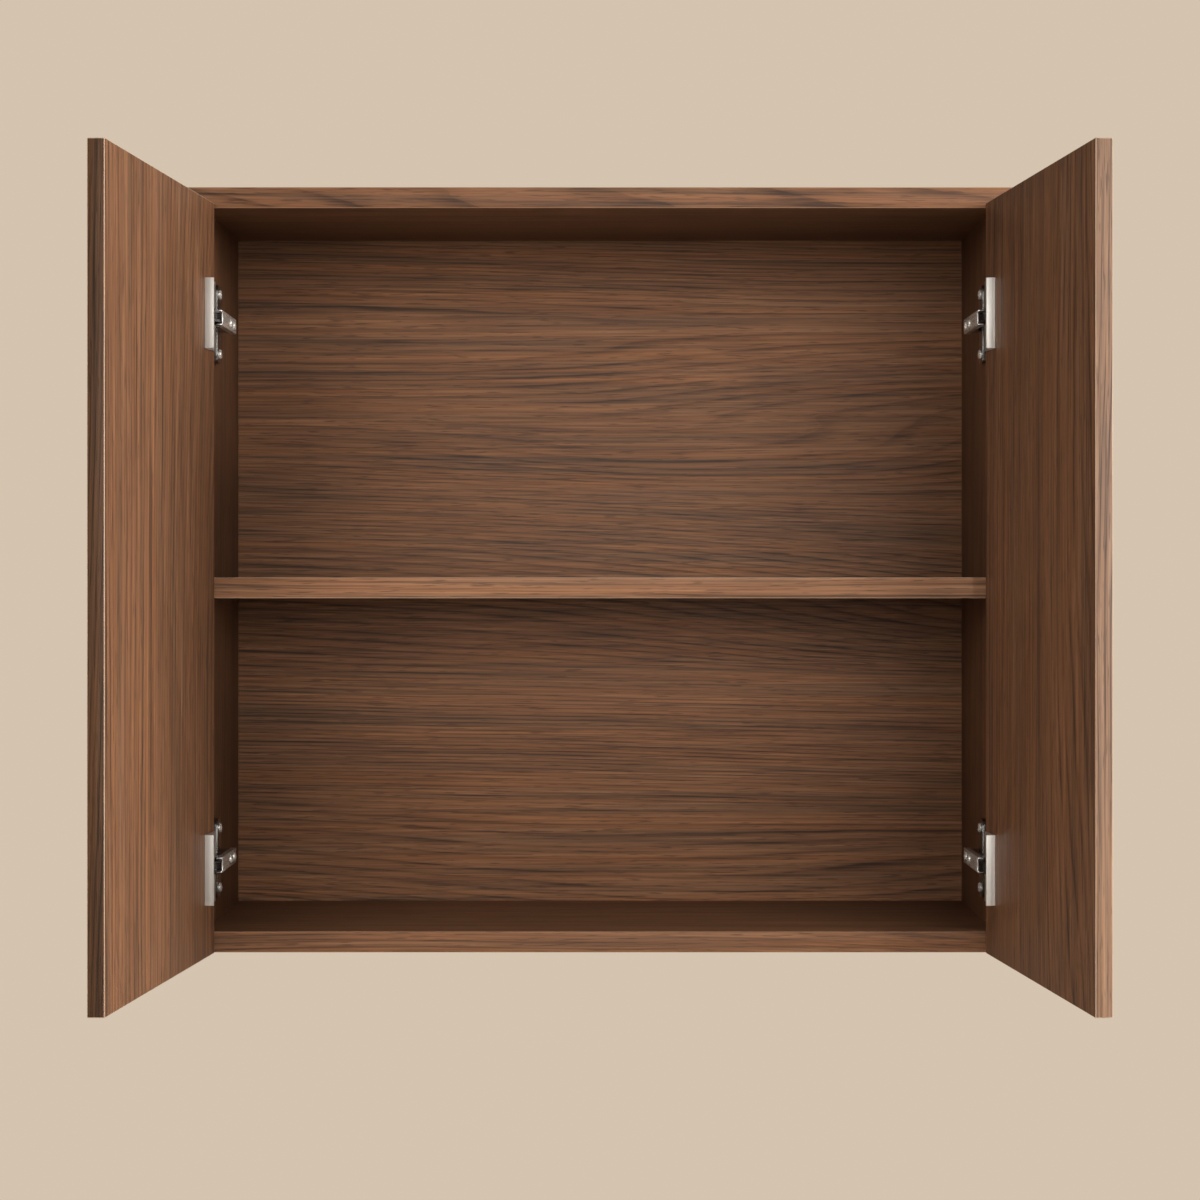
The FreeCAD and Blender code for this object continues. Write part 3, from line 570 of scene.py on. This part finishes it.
# %% Door sizes
OPEN_ANGLE = math.radians(95)
door_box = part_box("left_door_panel")
door_thickness = 11 * MM
door_width = 297 * MM
door_bottom, door_top = door_box[0][2], door_box[1][2]
mirror_lip = 6 * MM
rebate_depth = 3.4 * MM
bore_radius = 13 * MM
bore_depth = 6.6 * MM
bore_from_edge = 15.4 * MM
hinge_levels = {}
for level_name in ("upper", "lower"):
    cup_low, cup_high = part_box("left_%s_hinge_cup" % level_name)
    hinge_levels[level_name] = (cup_low[2] + cup_high[2]) / 2
hinge_corner = Vector((door_box[1][0], door_box[1][1] + door_thickness * math.cos(OPEN_ANGLE), 0))


def open_door(piece):
    """Takes a piece made on the closed door at the origin to the open left door."""
    piece.rotation_euler = (0, 0, -OPEN_ANGLE)
    piece.location = hinge_corner
    settle(piece)


door_height = door_top - door_bottom
print("door:", round(door_width / MM), "x", round(door_height / MM), "mm with", len(hinge_levels), "hinges")

# %% Door boards
left_door = block("left_door", (0, -door_thickness, door_bottom), (door_width, 0, door_top))
left_door.data.materials.append(door_walnut)
left_door.data.materials.append(door_arris_highlight)
pick_faces(left_door, lambda centre, normal: normal.y < -0.9)
bpy.ops.mesh.inset(thickness=mirror_lip)
bpy.ops.mesh.extrude_region_move(TRANSFORM_OT_translate={"value": (0, rebate_depth, 0)})
ease_edges(left_door, ARRIS)
for level in hinge_levels.values():
    start = (bore_from_edge, -bore_depth, level)
    carve(left_door, round_bar("bore", bore_radius, start, (bore_from_edge, bore_depth, level)))
# The free edge takes the dark band: painted shade.
left_door.data.materials.append(shaded_edge_band)
finish_faces(left_door, 2, lambda centre, normal: normal.x > 0.99)
open_door(left_door)
right_door = mirrored_copy(left_door, "right_door")
# The right door's free edge takes the pale band: a painted sheen.
right_door.data.materials[2] = sheen_edge_band
place_piece(left_door, "left_door", "walnut", "left_door_panel")
place_piece(right_door, "right_door", "walnut", "right_door_panel")
print("doors open to", round(math.degrees(OPEN_ANGLE)), "degrees:", left_door.name, right_door.name)

# %% [markdown]
# ## Mirrors
# Three millimetre silvered glass, its front edge ground to a fine bevel and its back sealed with grey
# paint. A layer of glass over a layer of silver would need more light bounces for the same look, so the
# face is the silver itself, the ground edge is green glass and the back is paint.

# %% Mirror finishes
SILVER = ((0.880, 0.902, 0.895), (0.890, 0.910, 0.904))
GREEN_GLASS = ((0.20, 0.34, 0.30), (0.34, 0.48, 0.43))
GREY_PAINT = ((0.10, 0.11, 0.115), (0.15, 0.16, 0.165))
silver = mottled("silvered_glass", SILVER, cells=(9, 9, 9), detail=2, roughness=0)
silver.node_tree.nodes["Principled BSDF"].inputs["Metallic"].default_value = 1
glass_edge = mottled("ground_glass_edge", GREEN_GLASS, cells=(300, 300, 300), detail=2, roughness=0.18)
back_paint = mottled("mirror_back_paint", GREY_PAINT, cells=(400, 400, 400), detail=3, roughness=0.55)
mirror_finishes = [silver, glass_edge, back_paint]
print("mirror finishes:", [finish.name for finish in mirror_finishes])

# %% Mirrors
glass_inset = mirror_lip + 0.3 * MM
glass_thickness = 3 * MM
ground_edge = 0.6 * MM


def on_front_edge(middle, direction):
    return middle.y < glass_thickness / 2 - door_thickness and abs(direction.y) < 0.1


left_mirror = block(
    "left_mirror_glass",
    (glass_inset, -door_thickness, door_bottom + glass_inset),
    (door_width - glass_inset, glass_thickness - door_thickness, door_top - glass_inset),
)
for finish in mirror_finishes:
    left_mirror.data.materials.append(finish)
finish_faces(left_mirror, 1, lambda centre, normal: abs(normal.y) < 0.1)
finish_faces(left_mirror, 2, lambda centre, normal: normal.y > 0.9)
pick_edges(left_mirror, on_front_edge)
bpy.ops.mesh.bevel(offset=ground_edge, segments=1, affect="EDGES", material=1)
open_door(left_mirror)
right_mirror = mirrored_copy(left_mirror, "right_mirror_glass")
place_piece(left_mirror, "left_door", "mirror_glass", "left_mirror")
place_piece(right_mirror, "right_door", "mirror_glass", "right_mirror")
print("mirrors:", round((door_width - 2 * glass_inset) / MM, 1), "mm wide")

# %% [markdown]
# ## Brushed nickel
# The hinges are pressed steel with a brushed nickel plate: a warm grey metal, with fine lines that run
# up the flange. A flat grey would look like plastic. The lines are noise stretched along the brushing,
# and they show in the colour, the gloss and a slight relief. The mounting plates are painted darker:
# painted shade, on top of the dark wood that their metal really reflects. The links are nearly black,
# as painted shade in the gap where they sit. The right cover strips are painted lighter than the left
# ones: painted light on the door that the lamps leave in shade, and a little painted shade on the lit one.

# %% Nickel
ALONG_Y = (0, 0, QUARTER_TURN)
NICKEL_DARK = (0.55, 0.54, 0.515)
NICKEL_LIGHT = (0.79, 0.78, 0.755)


def nickel(name, turn, metal, gloss, brightness=1.0):
    """Brushed nickel plate; metal is the share that mirrors, gloss the smoothest and the roughest line."""
    finish, tree, shader = new_finish(name)
    space = grain_space(tree, turn, (0, 0, 0))
    brushing = stretched_noise(tree, space, (60, 5200, 5200), detail=3, roughness=0.6)
    bands = stretched_noise(tree, space, (6, 480, 480), detail=2)
    lines = sum_up(tree, "MULTIPLY_ADD", bands, 0.55, sum_up(tree, "MULTIPLY", brushing, 0.45))
    dark, light = (tuple(brightness * share for share in tint) for tint in (NICKEL_DARK, NICKEL_LIGHT))
    tree.links.new(colours(tree, lines, [(0.36, dark), (0.62, light)]), shader.inputs["Base Color"])
    tree.links.new(spread(tree, brushing, 0.3, 0.7, *gloss), shader.inputs["Roughness"])
    shader.inputs["Metallic"].default_value = metal
    raise_surface(tree, shader, brushing, distance=0.01 * MM, strength=0.4)
    return finish


# The two doors' strips are one nickel: the left made darker as painted shade, the right lighter as painted
# light.
left_strip_shaded_nickel = nickel("nickel_left_strip_painted_shade", ALONG_Z, metal=0.4, gloss=(0.34, 0.48), brightness=0.86)
right_strip_lit_nickel = nickel("nickel_right_strip_painted_light", ALONG_Z, metal=0.5, gloss=(0.38, 0.52), brightness=1.26)
upright_nickel = nickel("nickel_brushed_upright", ALONG_Z, metal=0.8, gloss=(0.32, 0.46))
arm_nickel = nickel("nickel_brushed_arm", ALONG_Y, metal=0.6, gloss=(0.24, 0.36))
# The plates' nickel is darkened: painted shade over a metal that reflects the dark wood.
shaded_plate_nickel = nickel("nickel_mounting_plate_painted_shade", ALONG_Z, metal=1.0, gloss=(0.22, 0.34), brightness=0.4)
# The links' steel is nearly black: painted shade for the gap inside the hinge.
shaded_link_steel = nickel("steel_links_painted_shade", ALONG_Z, metal=0.9, gloss=(0.44, 0.56), brightness=0.1)
screw_nickel = nickel("nickel_screws", ALONG_Z, metal=0.6, gloss=(0.16, 0.24), brightness=1.2)
print("metal finishes:", [finish.name for finish in bpy.data.materials if "nickel" in finish.name])

# %% [markdown]
# ## Screws
# Each hinge is held by cross-recess screws. One head is turned from a bar: the rim is rounded over, and
# a cross is carved into it. The shank goes into what the screw holds. Copies are then set at every
# place, and all the screws of one CAD part are joined to one piece.

# %% Screw
def screw_piece(name, shank, head, head_height, length, dome=True):
    """A screw along +Z with the underside of its head at the origin; shank and head are radii."""
    piece = round_bar(name, head, (0, 0, 0), (0, 0, head_height), sides=32)
    if dome:
        rim_round = head_height * 0.6
        pick_edges(piece, lambda middle, direction: middle.z > rim_round and abs(direction.z) < 0.1)
        bpy.ops.mesh.bevel(offset=rim_round, segments=4, affect="EDGES")
        start_clean()
    slot_half = head * 0.13
    slot_reach = head * 0.62
    slot_floor = head_height * 0.35
    for reach_x, reach_y in ((slot_reach, slot_half), (slot_half, slot_reach)):
        low = (-reach_x, -reach_y, slot_floor)
        carve(piece, block("slot", low, (reach_x, reach_y, head_height * 2)))
    weld_on(piece, round_bar("shank", shank, (0, 0, -length), (0, 0, head_height * 0.2), sides=24))
    take(piece)
    bpy.ops.object.shade_smooth_by_angle(angle=math.radians(35))
    return piece


def set_screws(pattern, name, places, node):
    """Copies of one screw at every (spot, side), heads towards the cabinet's middle, as one piece."""
    copies = []
    for number, (spot, side) in enumerate(places):
        twin = copy_of(pattern, "%s_%d" % (name, number))
        twin.rotation_euler = (0, QUARTER_TURN * side, 0)
        twin.location = spot
        settle(twin)
        copies.append(twin)
    bpy.data.objects.remove(pattern)
    screws = joined(copies, name)
    screws.data.materials.clear()
    screws.data.materials.append(screw_nickel)
    place_piece(screws, "carcass", "nickel", node)


print("one screw serves for all of its kind")

# %% Plate and arm screws
left_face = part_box("left_side_panel")[1][0]
front_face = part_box("left_side_panel")[0][1]
plate_sheet = 3.5 * MM
plate_setback = 57 * MM
plate_screw_offset = 22 * MM
web_top = 13.2 * MM
arm_screw_setbacks = (48 * MM, 66 * MM)

plate_places = []
arm_places = []
for level in hinge_levels.values():
    for side in (1, -1):
        for offset in (plate_screw_offset, -plate_screw_offset):
            spot = (side * (left_face + plate_sheet), front_face + plate_setback, level + offset)
            plate_places.append((spot, side))
        for setback in arm_screw_setbacks:
            arm_places.append(((side * (left_face + web_top), front_face + setback, level), side))

plate_screw = screw_piece("plate_screw", shank=1.9 * MM, head=3.6 * MM, head_height=1.8 * MM, length=11 * MM)
arm_screw = screw_piece("arm_screw", shank=2 * MM, head=3.4 * MM, head_height=1.4 * MM, length=8 * MM)
set_screws(plate_screw, "plate_screw_heads", plate_places, "mounting_plate_screws")
set_screws(arm_screw, "arm_screw_heads", arm_places, "hinge_arm_screws")
print("screws:", len(plate_places), "in the plates and", len(arm_places), "in the arms")

# %% Cup screws
cup_screw_offset = 20 * MM
flange_sheet = 1 * MM
cup_screw_head = 0.6 * MM
cup_screw = screw_piece(
    "cup_screw", shank=1.4 * MM, head=2.6 * MM, head_height=cup_screw_head, length=5 * MM, dome=False
)
cup_copies = []
for level in hinge_levels.values():
    for offset in (cup_screw_offset, -cup_screw_offset):
        twin = copy_of(cup_screw, "left_cup_screw")
        twin.rotation_euler = (-QUARTER_TURN, 0, 0)
        twin.location = (bore_from_edge, flange_sheet - cup_screw_head, level + offset)
        settle(twin)
        cup_copies.append(twin)
bpy.data.objects.remove(cup_screw)
left_cup_screws = joined(cup_copies, "left_cup_screw_heads")
left_cup_screws.data.materials.append(screw_nickel)
open_door(left_cup_screws)
right_cup_screws = mirrored_copy(left_cup_screws, "right_cup_screw_heads")
place_piece(left_cup_screws, "left_door", "nickel", "left_cup_screws")
place_piece(right_cup_screws, "right_door", "nickel", "right_cup_screws")
print("cup screws:", len(cup_copies), "on each door")

# %% [markdown]
# ## Hinge cups
# The part of the hinge on the door: a tall flat flange, a shallow round cup let into the wood, and two
# ears inside it that hold the pivot pins. The flange is a thin block, the cup is welded on and hollowed
# with round bars, and a notch towards the hinge edge lets the links through.

# %% Hinge cup
flange_from_edge = 1 * MM
flange_width = 27.5 * MM
flange_end = flange_from_edge + flange_width
flange_half = 25 * MM
flange_corner = 1 * MM
cup_radius = 12.9 * MM
cup_sheet = 0.6 * MM
cup_floor = -5.9 * MM
notch_half_height = 5.9 * MM
ear_heights = (4.3 * MM, 5.3 * MM)
ear_run = (4.4 * MM, 13 * MM)
ear_top = -0.4 * MM
screw_seat_radius = 2.65 * MM
cup_ease = 0.12 * MM
cut_past = 2 * MM


def hinge_cup(name, level):
    """A cup on the closed door at the origin; cuts go a little past the faces that they open."""
    low = (flange_from_edge, 0, level - flange_half)
    piece = block(name, low, (flange_end, flange_sheet, level + flange_half))
    round_corners(piece, 1, flange_corner)

    def on_axis(y):
        return (bore_from_edge, y, level)

    underside = cup_floor - cup_sheet
    weld_on(piece, round_bar("cup_wall", cup_radius, on_axis(underside), on_axis(flange_sheet / 2)))
    carve(piece, round_bar("cup_hollow", cup_radius - cup_sheet, on_axis(cup_floor), on_axis(cut_past)))
    notch_low = (-flange_from_edge, cup_floor, level - notch_half_height)
    carve(piece, block("notch", notch_low, (bore_from_edge, cut_past, level + notch_half_height)))
    for offset in (cup_screw_offset, -cup_screw_offset):
        seat = (bore_from_edge, flange_sheet - cup_screw_head, level + offset)
        above = (bore_from_edge, cut_past, level + offset)
        carve(piece, round_bar("screw_seat", screw_seat_radius, seat, above, sides=32))
    for side in (1, -1):
        heights = sorted((level + side * ear_heights[0], level + side * ear_heights[1]))
        low = (ear_run[0], cup_floor - cup_sheet / 2, heights[0])
        weld_on(piece, block("ear", low, (ear_run[1], ear_top, heights[1])))
    piece.data.materials.clear()
    piece.data.materials.append(upright_nickel)
    ease_edges(piece, cup_ease)
    return piece


for level_name, level in hinge_levels.items():
    left_cup = hinge_cup("left_%s_cup" % level_name, level)
    open_door(left_cup)
    right_cup = mirrored_copy(left_cup, "right_%s_cup" % level_name)
    place_piece(left_cup, "left_door", "nickel", "left_%s_hinge_cup" % level_name)
    place_piece(right_cup, "right_door", "nickel", "right_%s_hinge_cup" % level_name)
print("hinge cups:", len(left_cup.data.polygons), "faces each")

# %% [markdown]
# ## Cover strips
# A square nickel bar is clipped along the front of each flange and hides the links behind it. On an open
# door it is what shows of the hinge: a bright upright bar with a crisp corner. A block with finely eased
# edges is all it needs.

# %% Cover strips
strip_sheet = 2 * MM
strip_height = 6.5 * MM
strip_ease = 0.3 * MM
left_bars = []
for level in hinge_levels.values():
    low = (flange_end, 0, level - flange_half)
    left_bars.append(block("left_bar", low, (flange_end + strip_sheet, strip_height, level + flange_half)))
left_strips = joined(left_bars, "left_strip_bars")
left_strips.data.materials.append(left_strip_shaded_nickel)
ease_edges(left_strips, strip_ease, steps=3)
open_door(left_strips)
right_strips = mirrored_copy(left_strips, "right_strip_bars")
right_strips.data.materials[0] = right_strip_lit_nickel
place_piece(left_strips, "left_door", "nickel", "left_cover_strips")
place_piece(right_strips, "right_door", "nickel", "right_cover_strips")
print("cover strips:", len(left_bars), "on each door")

# %% [markdown]
# ## Mounting plates
# A winged plate screwed to the side panel, with a ridge that the arm slides on. The wing's four corners
# are rounded, the ridge is welded on, and all edges are eased as on a die casting.

# %% Mounting plate
plate_half_width = 10 * MM
plate_half_height = 29 * MM
plate_corner = 6 * MM
plate_ease = 0.4 * MM
ridge_half = 4.3 * MM
ridge_run = (25 * MM, 78 * MM)
ridge_play = 0.02 * MM
web_low = 12 * MM


def on_side(x, y, z, level):
    """A point by its distance from the left side panel, from the front edge and from the hinge's middle."""
    return (left_face + x, front_face + y, level + z)


def mounting_plate(name, level):
    """A plate on the left side panel, with its ridge just under the arm's web."""
    low = on_side(0, plate_setback - plate_half_width, -plate_half_height, level)
    high = on_side(plate_sheet, plate_setback + plate_half_width, plate_half_height, level)
    piece = block(name, low, high)
    round_corners(piece, 0, plate_corner)
    low = on_side(0, ridge_run[0], -ridge_half, level)
    high = on_side(web_low - ridge_play, ridge_run[1], ridge_half, level)
    weld_on(piece, block("ridge", low, high))
    piece.data.materials.clear()
    piece.data.materials.append(shaded_plate_nickel)
    ease_edges(piece, plate_ease)
    return piece


for level_name, level in hinge_levels.items():
    left_plate = mounting_plate("left_%s_plate" % level_name, level)
    right_plate = mirrored_copy(left_plate, "right_%s_plate" % level_name)
    place_piece(left_plate, "carcass", "nickel", "left_%s_mounting_plate" % level_name)
    place_piece(right_plate, "carcass", "nickel", "right_%s_mounting_plate" % level_name)
print("mounting plates:", len(left_plate.data.polygons), "faces each")

# %% [markdown]
# ## Hinge arms
# A channel pressed from sheet: a flat web with a cheek along each edge, and deeper lugs for the second
# pivot. It could be folded from a strip. Carving is closer to the finished form: the lugs are welded to
# one long block, a second block carves the channel and leaves the web and the cheeks, and a third opens
# the web at the nose, where the links swing through.

# %% Hinge arm
arm_half = 5.4 * MM
arm_sheet = 1 * MM
arm_run = (1.4 * MM, 78 * MM)
cheek_height = 4.2 * MM
web_sheet = 1.2 * MM
web_start = 6.5 * MM
lug_low = 5.15 * MM
lug_run = (15.4 * MM, 23.4 * MM)
arm_ease = 0.25 * MM


def hinge_arm(name, level):
    """An arm on the ridge of its mounting plate, on the left."""
    low = on_side(web_top - cheek_height, arm_run[0], -arm_half, level)
    piece = block(name, low, on_side(web_top, arm_run[1], arm_half, level))
    channel_half = arm_half - arm_sheet
    for side in (1, -1):
        heights = sorted((side * channel_half, side * arm_half))
        low = on_side(lug_low, lug_run[0], heights[0], level)
        weld_on(piece, block("lug", low, on_side(web_top - web_sheet / 2, lug_run[1], heights[1], level)))
    low = on_side(0, 0, -channel_half, level)
    high = on_side(web_top - web_sheet, arm_run[1] + cut_past, channel_half, level)
    carve(piece, block("channel", low, high))
    high = on_side(web_top + cut_past / 2, web_start, channel_half, level)
    carve(piece, block("nose_slot", low, high))
    piece.data.materials.clear()
    piece.data.materials.append(arm_nickel)
    ease_edges(piece, arm_ease)
    return piece


for level_name, level in hinge_levels.items():
    left_arm = hinge_arm("left_%s_arm" % level_name, level)
    right_arm = mirrored_copy(left_arm, "right_%s_arm" % level_name)
    place_piece(left_arm, "carcass", "nickel", "left_%s_hinge_arm" % level_name)
    place_piece(right_arm, "carcass", "nickel", "right_%s_hinge_arm" % level_name)
print("hinge arms:", len(left_arm.data.polygons), "faces each")

# %% [markdown]
# ## Links, pins and hidden pieces
# The links and pins inside the hinges, the shelf pins, the dowels and the mirrors' tape are right as the
# CAD made them, and little of them shows. They could be modelled again, but that would add nothing to
# see. They stay as they are and only get a finish.

# %% Plain woods and tape
FILM_BLACK = ((0.008, 0.008, 0.008), (0.02, 0.02, 0.02))


def plain_wood(name, turn, dark, light):
    """Bare pale wood, streaked along its length."""
    finish, tree, shader = new_finish(name)
    space = grain_space(tree, turn, (0.2, 0.1, 0.4))
    streak = stretched_noise(tree, space, (3, 130, 130), detail=4, roughness=0.6)
    fibre = stretched_noise(tree, space, (14, 900, 900), detail=3)
    shade = sum_up(tree, "MULTIPLY_ADD", fibre, 0.4, sum_up(tree, "MULTIPLY", streak, 0.6))
    tree.links.new(colours(tree, shade, [(0.32, dark), (0.68, light)]), shader.inputs["Base Color"])
    shader.inputs["Roughness"].default_value = 0.62
    return finish


batten_wood = plain_wood("batten_wood", ALONG_X, (0.36, 0.23, 0.12), (0.56, 0.40, 0.24))
dowel_wood = plain_wood("dowel_beech", ALONG_Z, (0.42, 0.27, 0.15), (0.60, 0.42, 0.26))
film = mottled("adhesive_film", FILM_BLACK, cells=(800, 800, 800), detail=2, roughness=0.8)
print("plain finishes:", batten_wood.name, dowel_wood.name, film.name)

# %% Finishes on the kept CAD parts
kept_finishes = {
    # Links and rivets take the near-black steel, which is painted shade.
    "link": shaded_link_steel,
    "rivets": shaded_link_steel,
    "dowels": dowel_wood,
    "tape": film,
    "supports": upright_nickel,
}
kept_nodes = [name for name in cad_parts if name.split("_")[-1] in kept_finishes]
for name in kept_nodes:
    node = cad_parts[name]
    node.data.materials.clear()
    node.data.materials.append(kept_finishes[name.split("_")[-1]])
print("kept CAD parts:", len(kept_nodes))

# %% [markdown]
# ## Hanging battens
# Behind the back panel, the hanging cleat hooks over a wall cleat, each cut at 45 degrees, and a spacer
# keeps the bottom off the wall by the same amount. A saw cuts the real slope. Here one long edge of a
# block is moved by the batten's thickness, which leaves the same slope: the hanging cleat's lower edge
# rises at the front, and the wall cleat's upper edge falls at the wall.

# %% Battens
batten_ease = 0.5 * MM
wall_hole_radius = 2.75 * MM
wall_hole_reach = 200 * MM


def batten(name, node):
    """A plain batten over its CAD part."""
    piece = block(name, *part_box(node))
    piece.data.materials.append(batten_wood)
    return piece


def slope_edge(piece, corner, rise):
    """Moves the long edge through one corner up or down."""
    def on_edge(middle, direction):
        beside = abs(middle.y - corner[1]) < MM and abs(middle.z - corner[2]) < MM
        return beside and abs(direction.x) > 0.9

    pick_edges(piece, on_edge)
    bpy.ops.transform.translate(value=(0, 0, rise))
    start_clean()


hook_batten = batten("hook_batten", "hanging_cleat")
wall_batten = batten("wall_batten", "wall_cleat")
spacer_batten = batten("spacer_batten", "lower_spacer")
hook_low, hook_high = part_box("hanging_cleat")
wall_low, wall_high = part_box("wall_cleat")
slope_edge(hook_batten, hook_low, hook_high[1] - hook_low[1])
slope_edge(wall_batten, wall_high, wall_low[1] - wall_high[1])
for piece in (hook_batten, wall_batten, spacer_batten):
    ease_edges(piece, batten_ease)
for side in (-1, 1):
    front = (side * wall_hole_reach, wall_low[1] - MM, 0)
    behind = (side * wall_hole_reach, MM, 0)
    carve(wall_batten, round_bar("screw_hole", wall_hole_radius, front, behind, sides=32))
place_piece(hook_batten, "carcass", "batten_wood", "hanging_cleat")
place_piece(wall_batten, "carcass", "batten_wood", "wall_cleat")
place_piece(spacer_batten, "carcass", "batten_wood", "lower_spacer")
print("battens:", hook_batten.name, wall_batten.name, spacer_batten.name)

# %% [markdown]
# ## Floor and light
# The cabinet hangs a good metre above a pale floor. A soft window light stands at the upper right in
# front, as in the photo: it reaches the left door's inner face and leaves the right one in shade. Two
# weaker lights, to the right and left of the camera, open the inside of the box. One beside the camera
# would be simpler, but it lit the ends of the back board too much. A third in the middle only shows as a
# sheen, mainly on the metal. Fills from the left and from behind reach the right door's inner face and
# the cabinet's back.

# %% Floor
FLOOR_TINTS = ((0.60, 0.53, 0.45), (0.66, 0.59, 0.51))
floor_drop = 1.2
floor_size = 6
floor_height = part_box("bottom_panel")[0][2] - floor_drop
start_clean()
bpy.ops.mesh.primitive_plane_add(size=floor_size, location=(0, 0, floor_height))
floor = bpy.context.object
floor.name = "floor"
floor.data.materials.append(mottled("pale_floor", FLOOR_TINTS, cells=(3, 3, 3), detail=3, roughness=0.8))
print("floor at", round(floor.location.z, 3), "m")

# %% Light
FRONT_TINT = (1.0, 0.96, 0.91)
box_middle = (0, 0, -0.25)
unlit_mirrors = bpy.data.collections.new("unlit_mirrors")
for glass in (left_mirror, right_mirror):
    unlit_mirrors.objects.link(glass)
for entry in unlit_mirrors.collection_objects:
    entry.light_linking.link_state = "EXCLUDE"


def soft_light(name, place, aim, size, watts, colour):
    """A rectangular area light, (wide, high), that looks at a point, and that the mirrors don't show."""
    lamp = bpy.data.lights.new(name, "AREA")
    lamp.shape = "RECTANGLE"
    lamp.size, lamp.size_y = size
    lamp.energy = watts
    lamp.color = colour
    holder = bpy.data.objects.new(name, lamp)
    bpy.context.scene.collection.objects.link(holder)
    holder.light_linking.receiver_collection = unlit_mirrors
    holder.location = place
    holder.rotation_euler = (Vector(aim) - Vector(place)).to_track_quat("-Z", "Y").to_euler()
    return holder


soft_light("window", (2.7, -1.35, 0.3), (-0.25, -0.4, -0.2), (0.8, 1.2), 102, (1.0, 0.94, 0.88))
right_front = soft_light("right_front", (1.0, -3.3, 0.4), box_middle, (0.9, 1.4), 60, FRONT_TINT)
left_front = soft_light("left_front", (-1.0, -3.3, 0.4), box_middle, (0.9, 1.4), 42, FRONT_TINT)
front_sheen = soft_light("front_sheen", (0.2, -3.4, 0.3), box_middle, (1.2, 1.4), 33, (1.0, 0.97, 0.93))
door_middle = (0.3, -0.35, -0.25)
left_fill = soft_light("left_fill", (-2.3, -1.8, 0.35), door_middle, (1.2, 1.2), 13, (1.0, 0.95, 0.89))
back_fill = soft_light("back_fill", (0.9, 2.9, 0.6), (0, 0.1, -0.3), (2.0, 2.0), 62, FRONT_TINT)
front_sheen.visible_diffuse = False
for fill in (right_front, left_front, left_fill, back_fill):
    fill.visible_glossy = False

# %% [markdown]
# ## Room
# What the camera sees behind the cabinet is a pale wall colour, and the light that comes from it is much
# weaker. A mirror shows the room in front of it, which isn't there: a soft shade from a darker floor to
# a light ceiling stands in for it. So the world has three colours, and the kind of ray chooses between
# them.

# %% Room
world = bpy.data.worlds.new("pale_room")
bpy.context.scene.world = world
world.use_nodes = True
room = world.node_tree
ambient = room.nodes["Background"]
ambient.inputs["Color"].default_value = (0.80, 0.70, 0.60, 1)
ambient.inputs["Strength"].default_value = 0.11
wall = room.nodes.new("ShaderNodeBackground")
wall.inputs["Color"].default_value = (0.66, 0.55, 0.43, 1)
opposite = room.nodes.new("ShaderNodeBackground")
heading = room.nodes.new("ShaderNodeTexCoord")
parts = room.nodes.new("ShaderNodeSeparateXYZ")
room.links.new(heading.outputs["Generated"], parts.inputs[0])
# The shade gets lighter upwards, and half as fast to the right.
rise = sum_up(room, "MULTIPLY_ADD", parts.outputs["X"], 0.5, parts.outputs["Z"])
rise = spread(room, rise, -0.45, 0.45)
shades = [(0.0, (0.34, 0.30, 0.25)), (0.4, (0.58, 0.53, 0.46)), (1.0, (0.98, 0.95, 0.90))]
room.links.new(colours(room, rise, shades), opposite.inputs["Color"])


def choose(first, second, when):
    """The second background where when is 1, the first elsewhere."""
    mix = room.nodes.new("ShaderNodeMixShader")
    for socket, source in zip(mix.inputs, (when, first, second)):
        room.links.new(source, socket)
    return mix.outputs["Shader"]


ray = room.nodes.new("ShaderNodeLightPath")
backdrop = choose(ambient.outputs["Background"], wall.outputs["Background"], ray.outputs["Is Camera Ray"])
backdrop = choose(backdrop, opposite.outputs["Background"], ray.outputs["Is Singular Ray"])
room.links.new(backdrop, room.nodes["World Output"].inputs["Surface"])
bpy.context.scene.view_settings.view_transform = "Standard"
print("room:", world.name, "with", len(room.nodes), "nodes")

# %% [markdown]
# ## Camera
# The photo was taken from about two metres in front of the box. The camera's place and its lens were
# worked out from the box's corners in the photo. The lens is shifted a little instead of tilted, which
# keeps upright edges upright.

# %% Camera
camera_data = bpy.data.cameras.new("photo_camera")
camera_data.sensor_width = 36
camera_data.lens = 83.13
camera_data.shift_y = -0.0167
camera = bpy.data.objects.new("photo_camera", camera_data)
bpy.context.scene.collection.objects.link(camera)
camera.location = (0, -2.2017, -0.2323)
camera.rotation_euler = (QUARTER_TURN, 0, 0)
bpy.context.scene.camera = camera
print("camera", round(-camera.location.y, 3), "m in front of the wall")
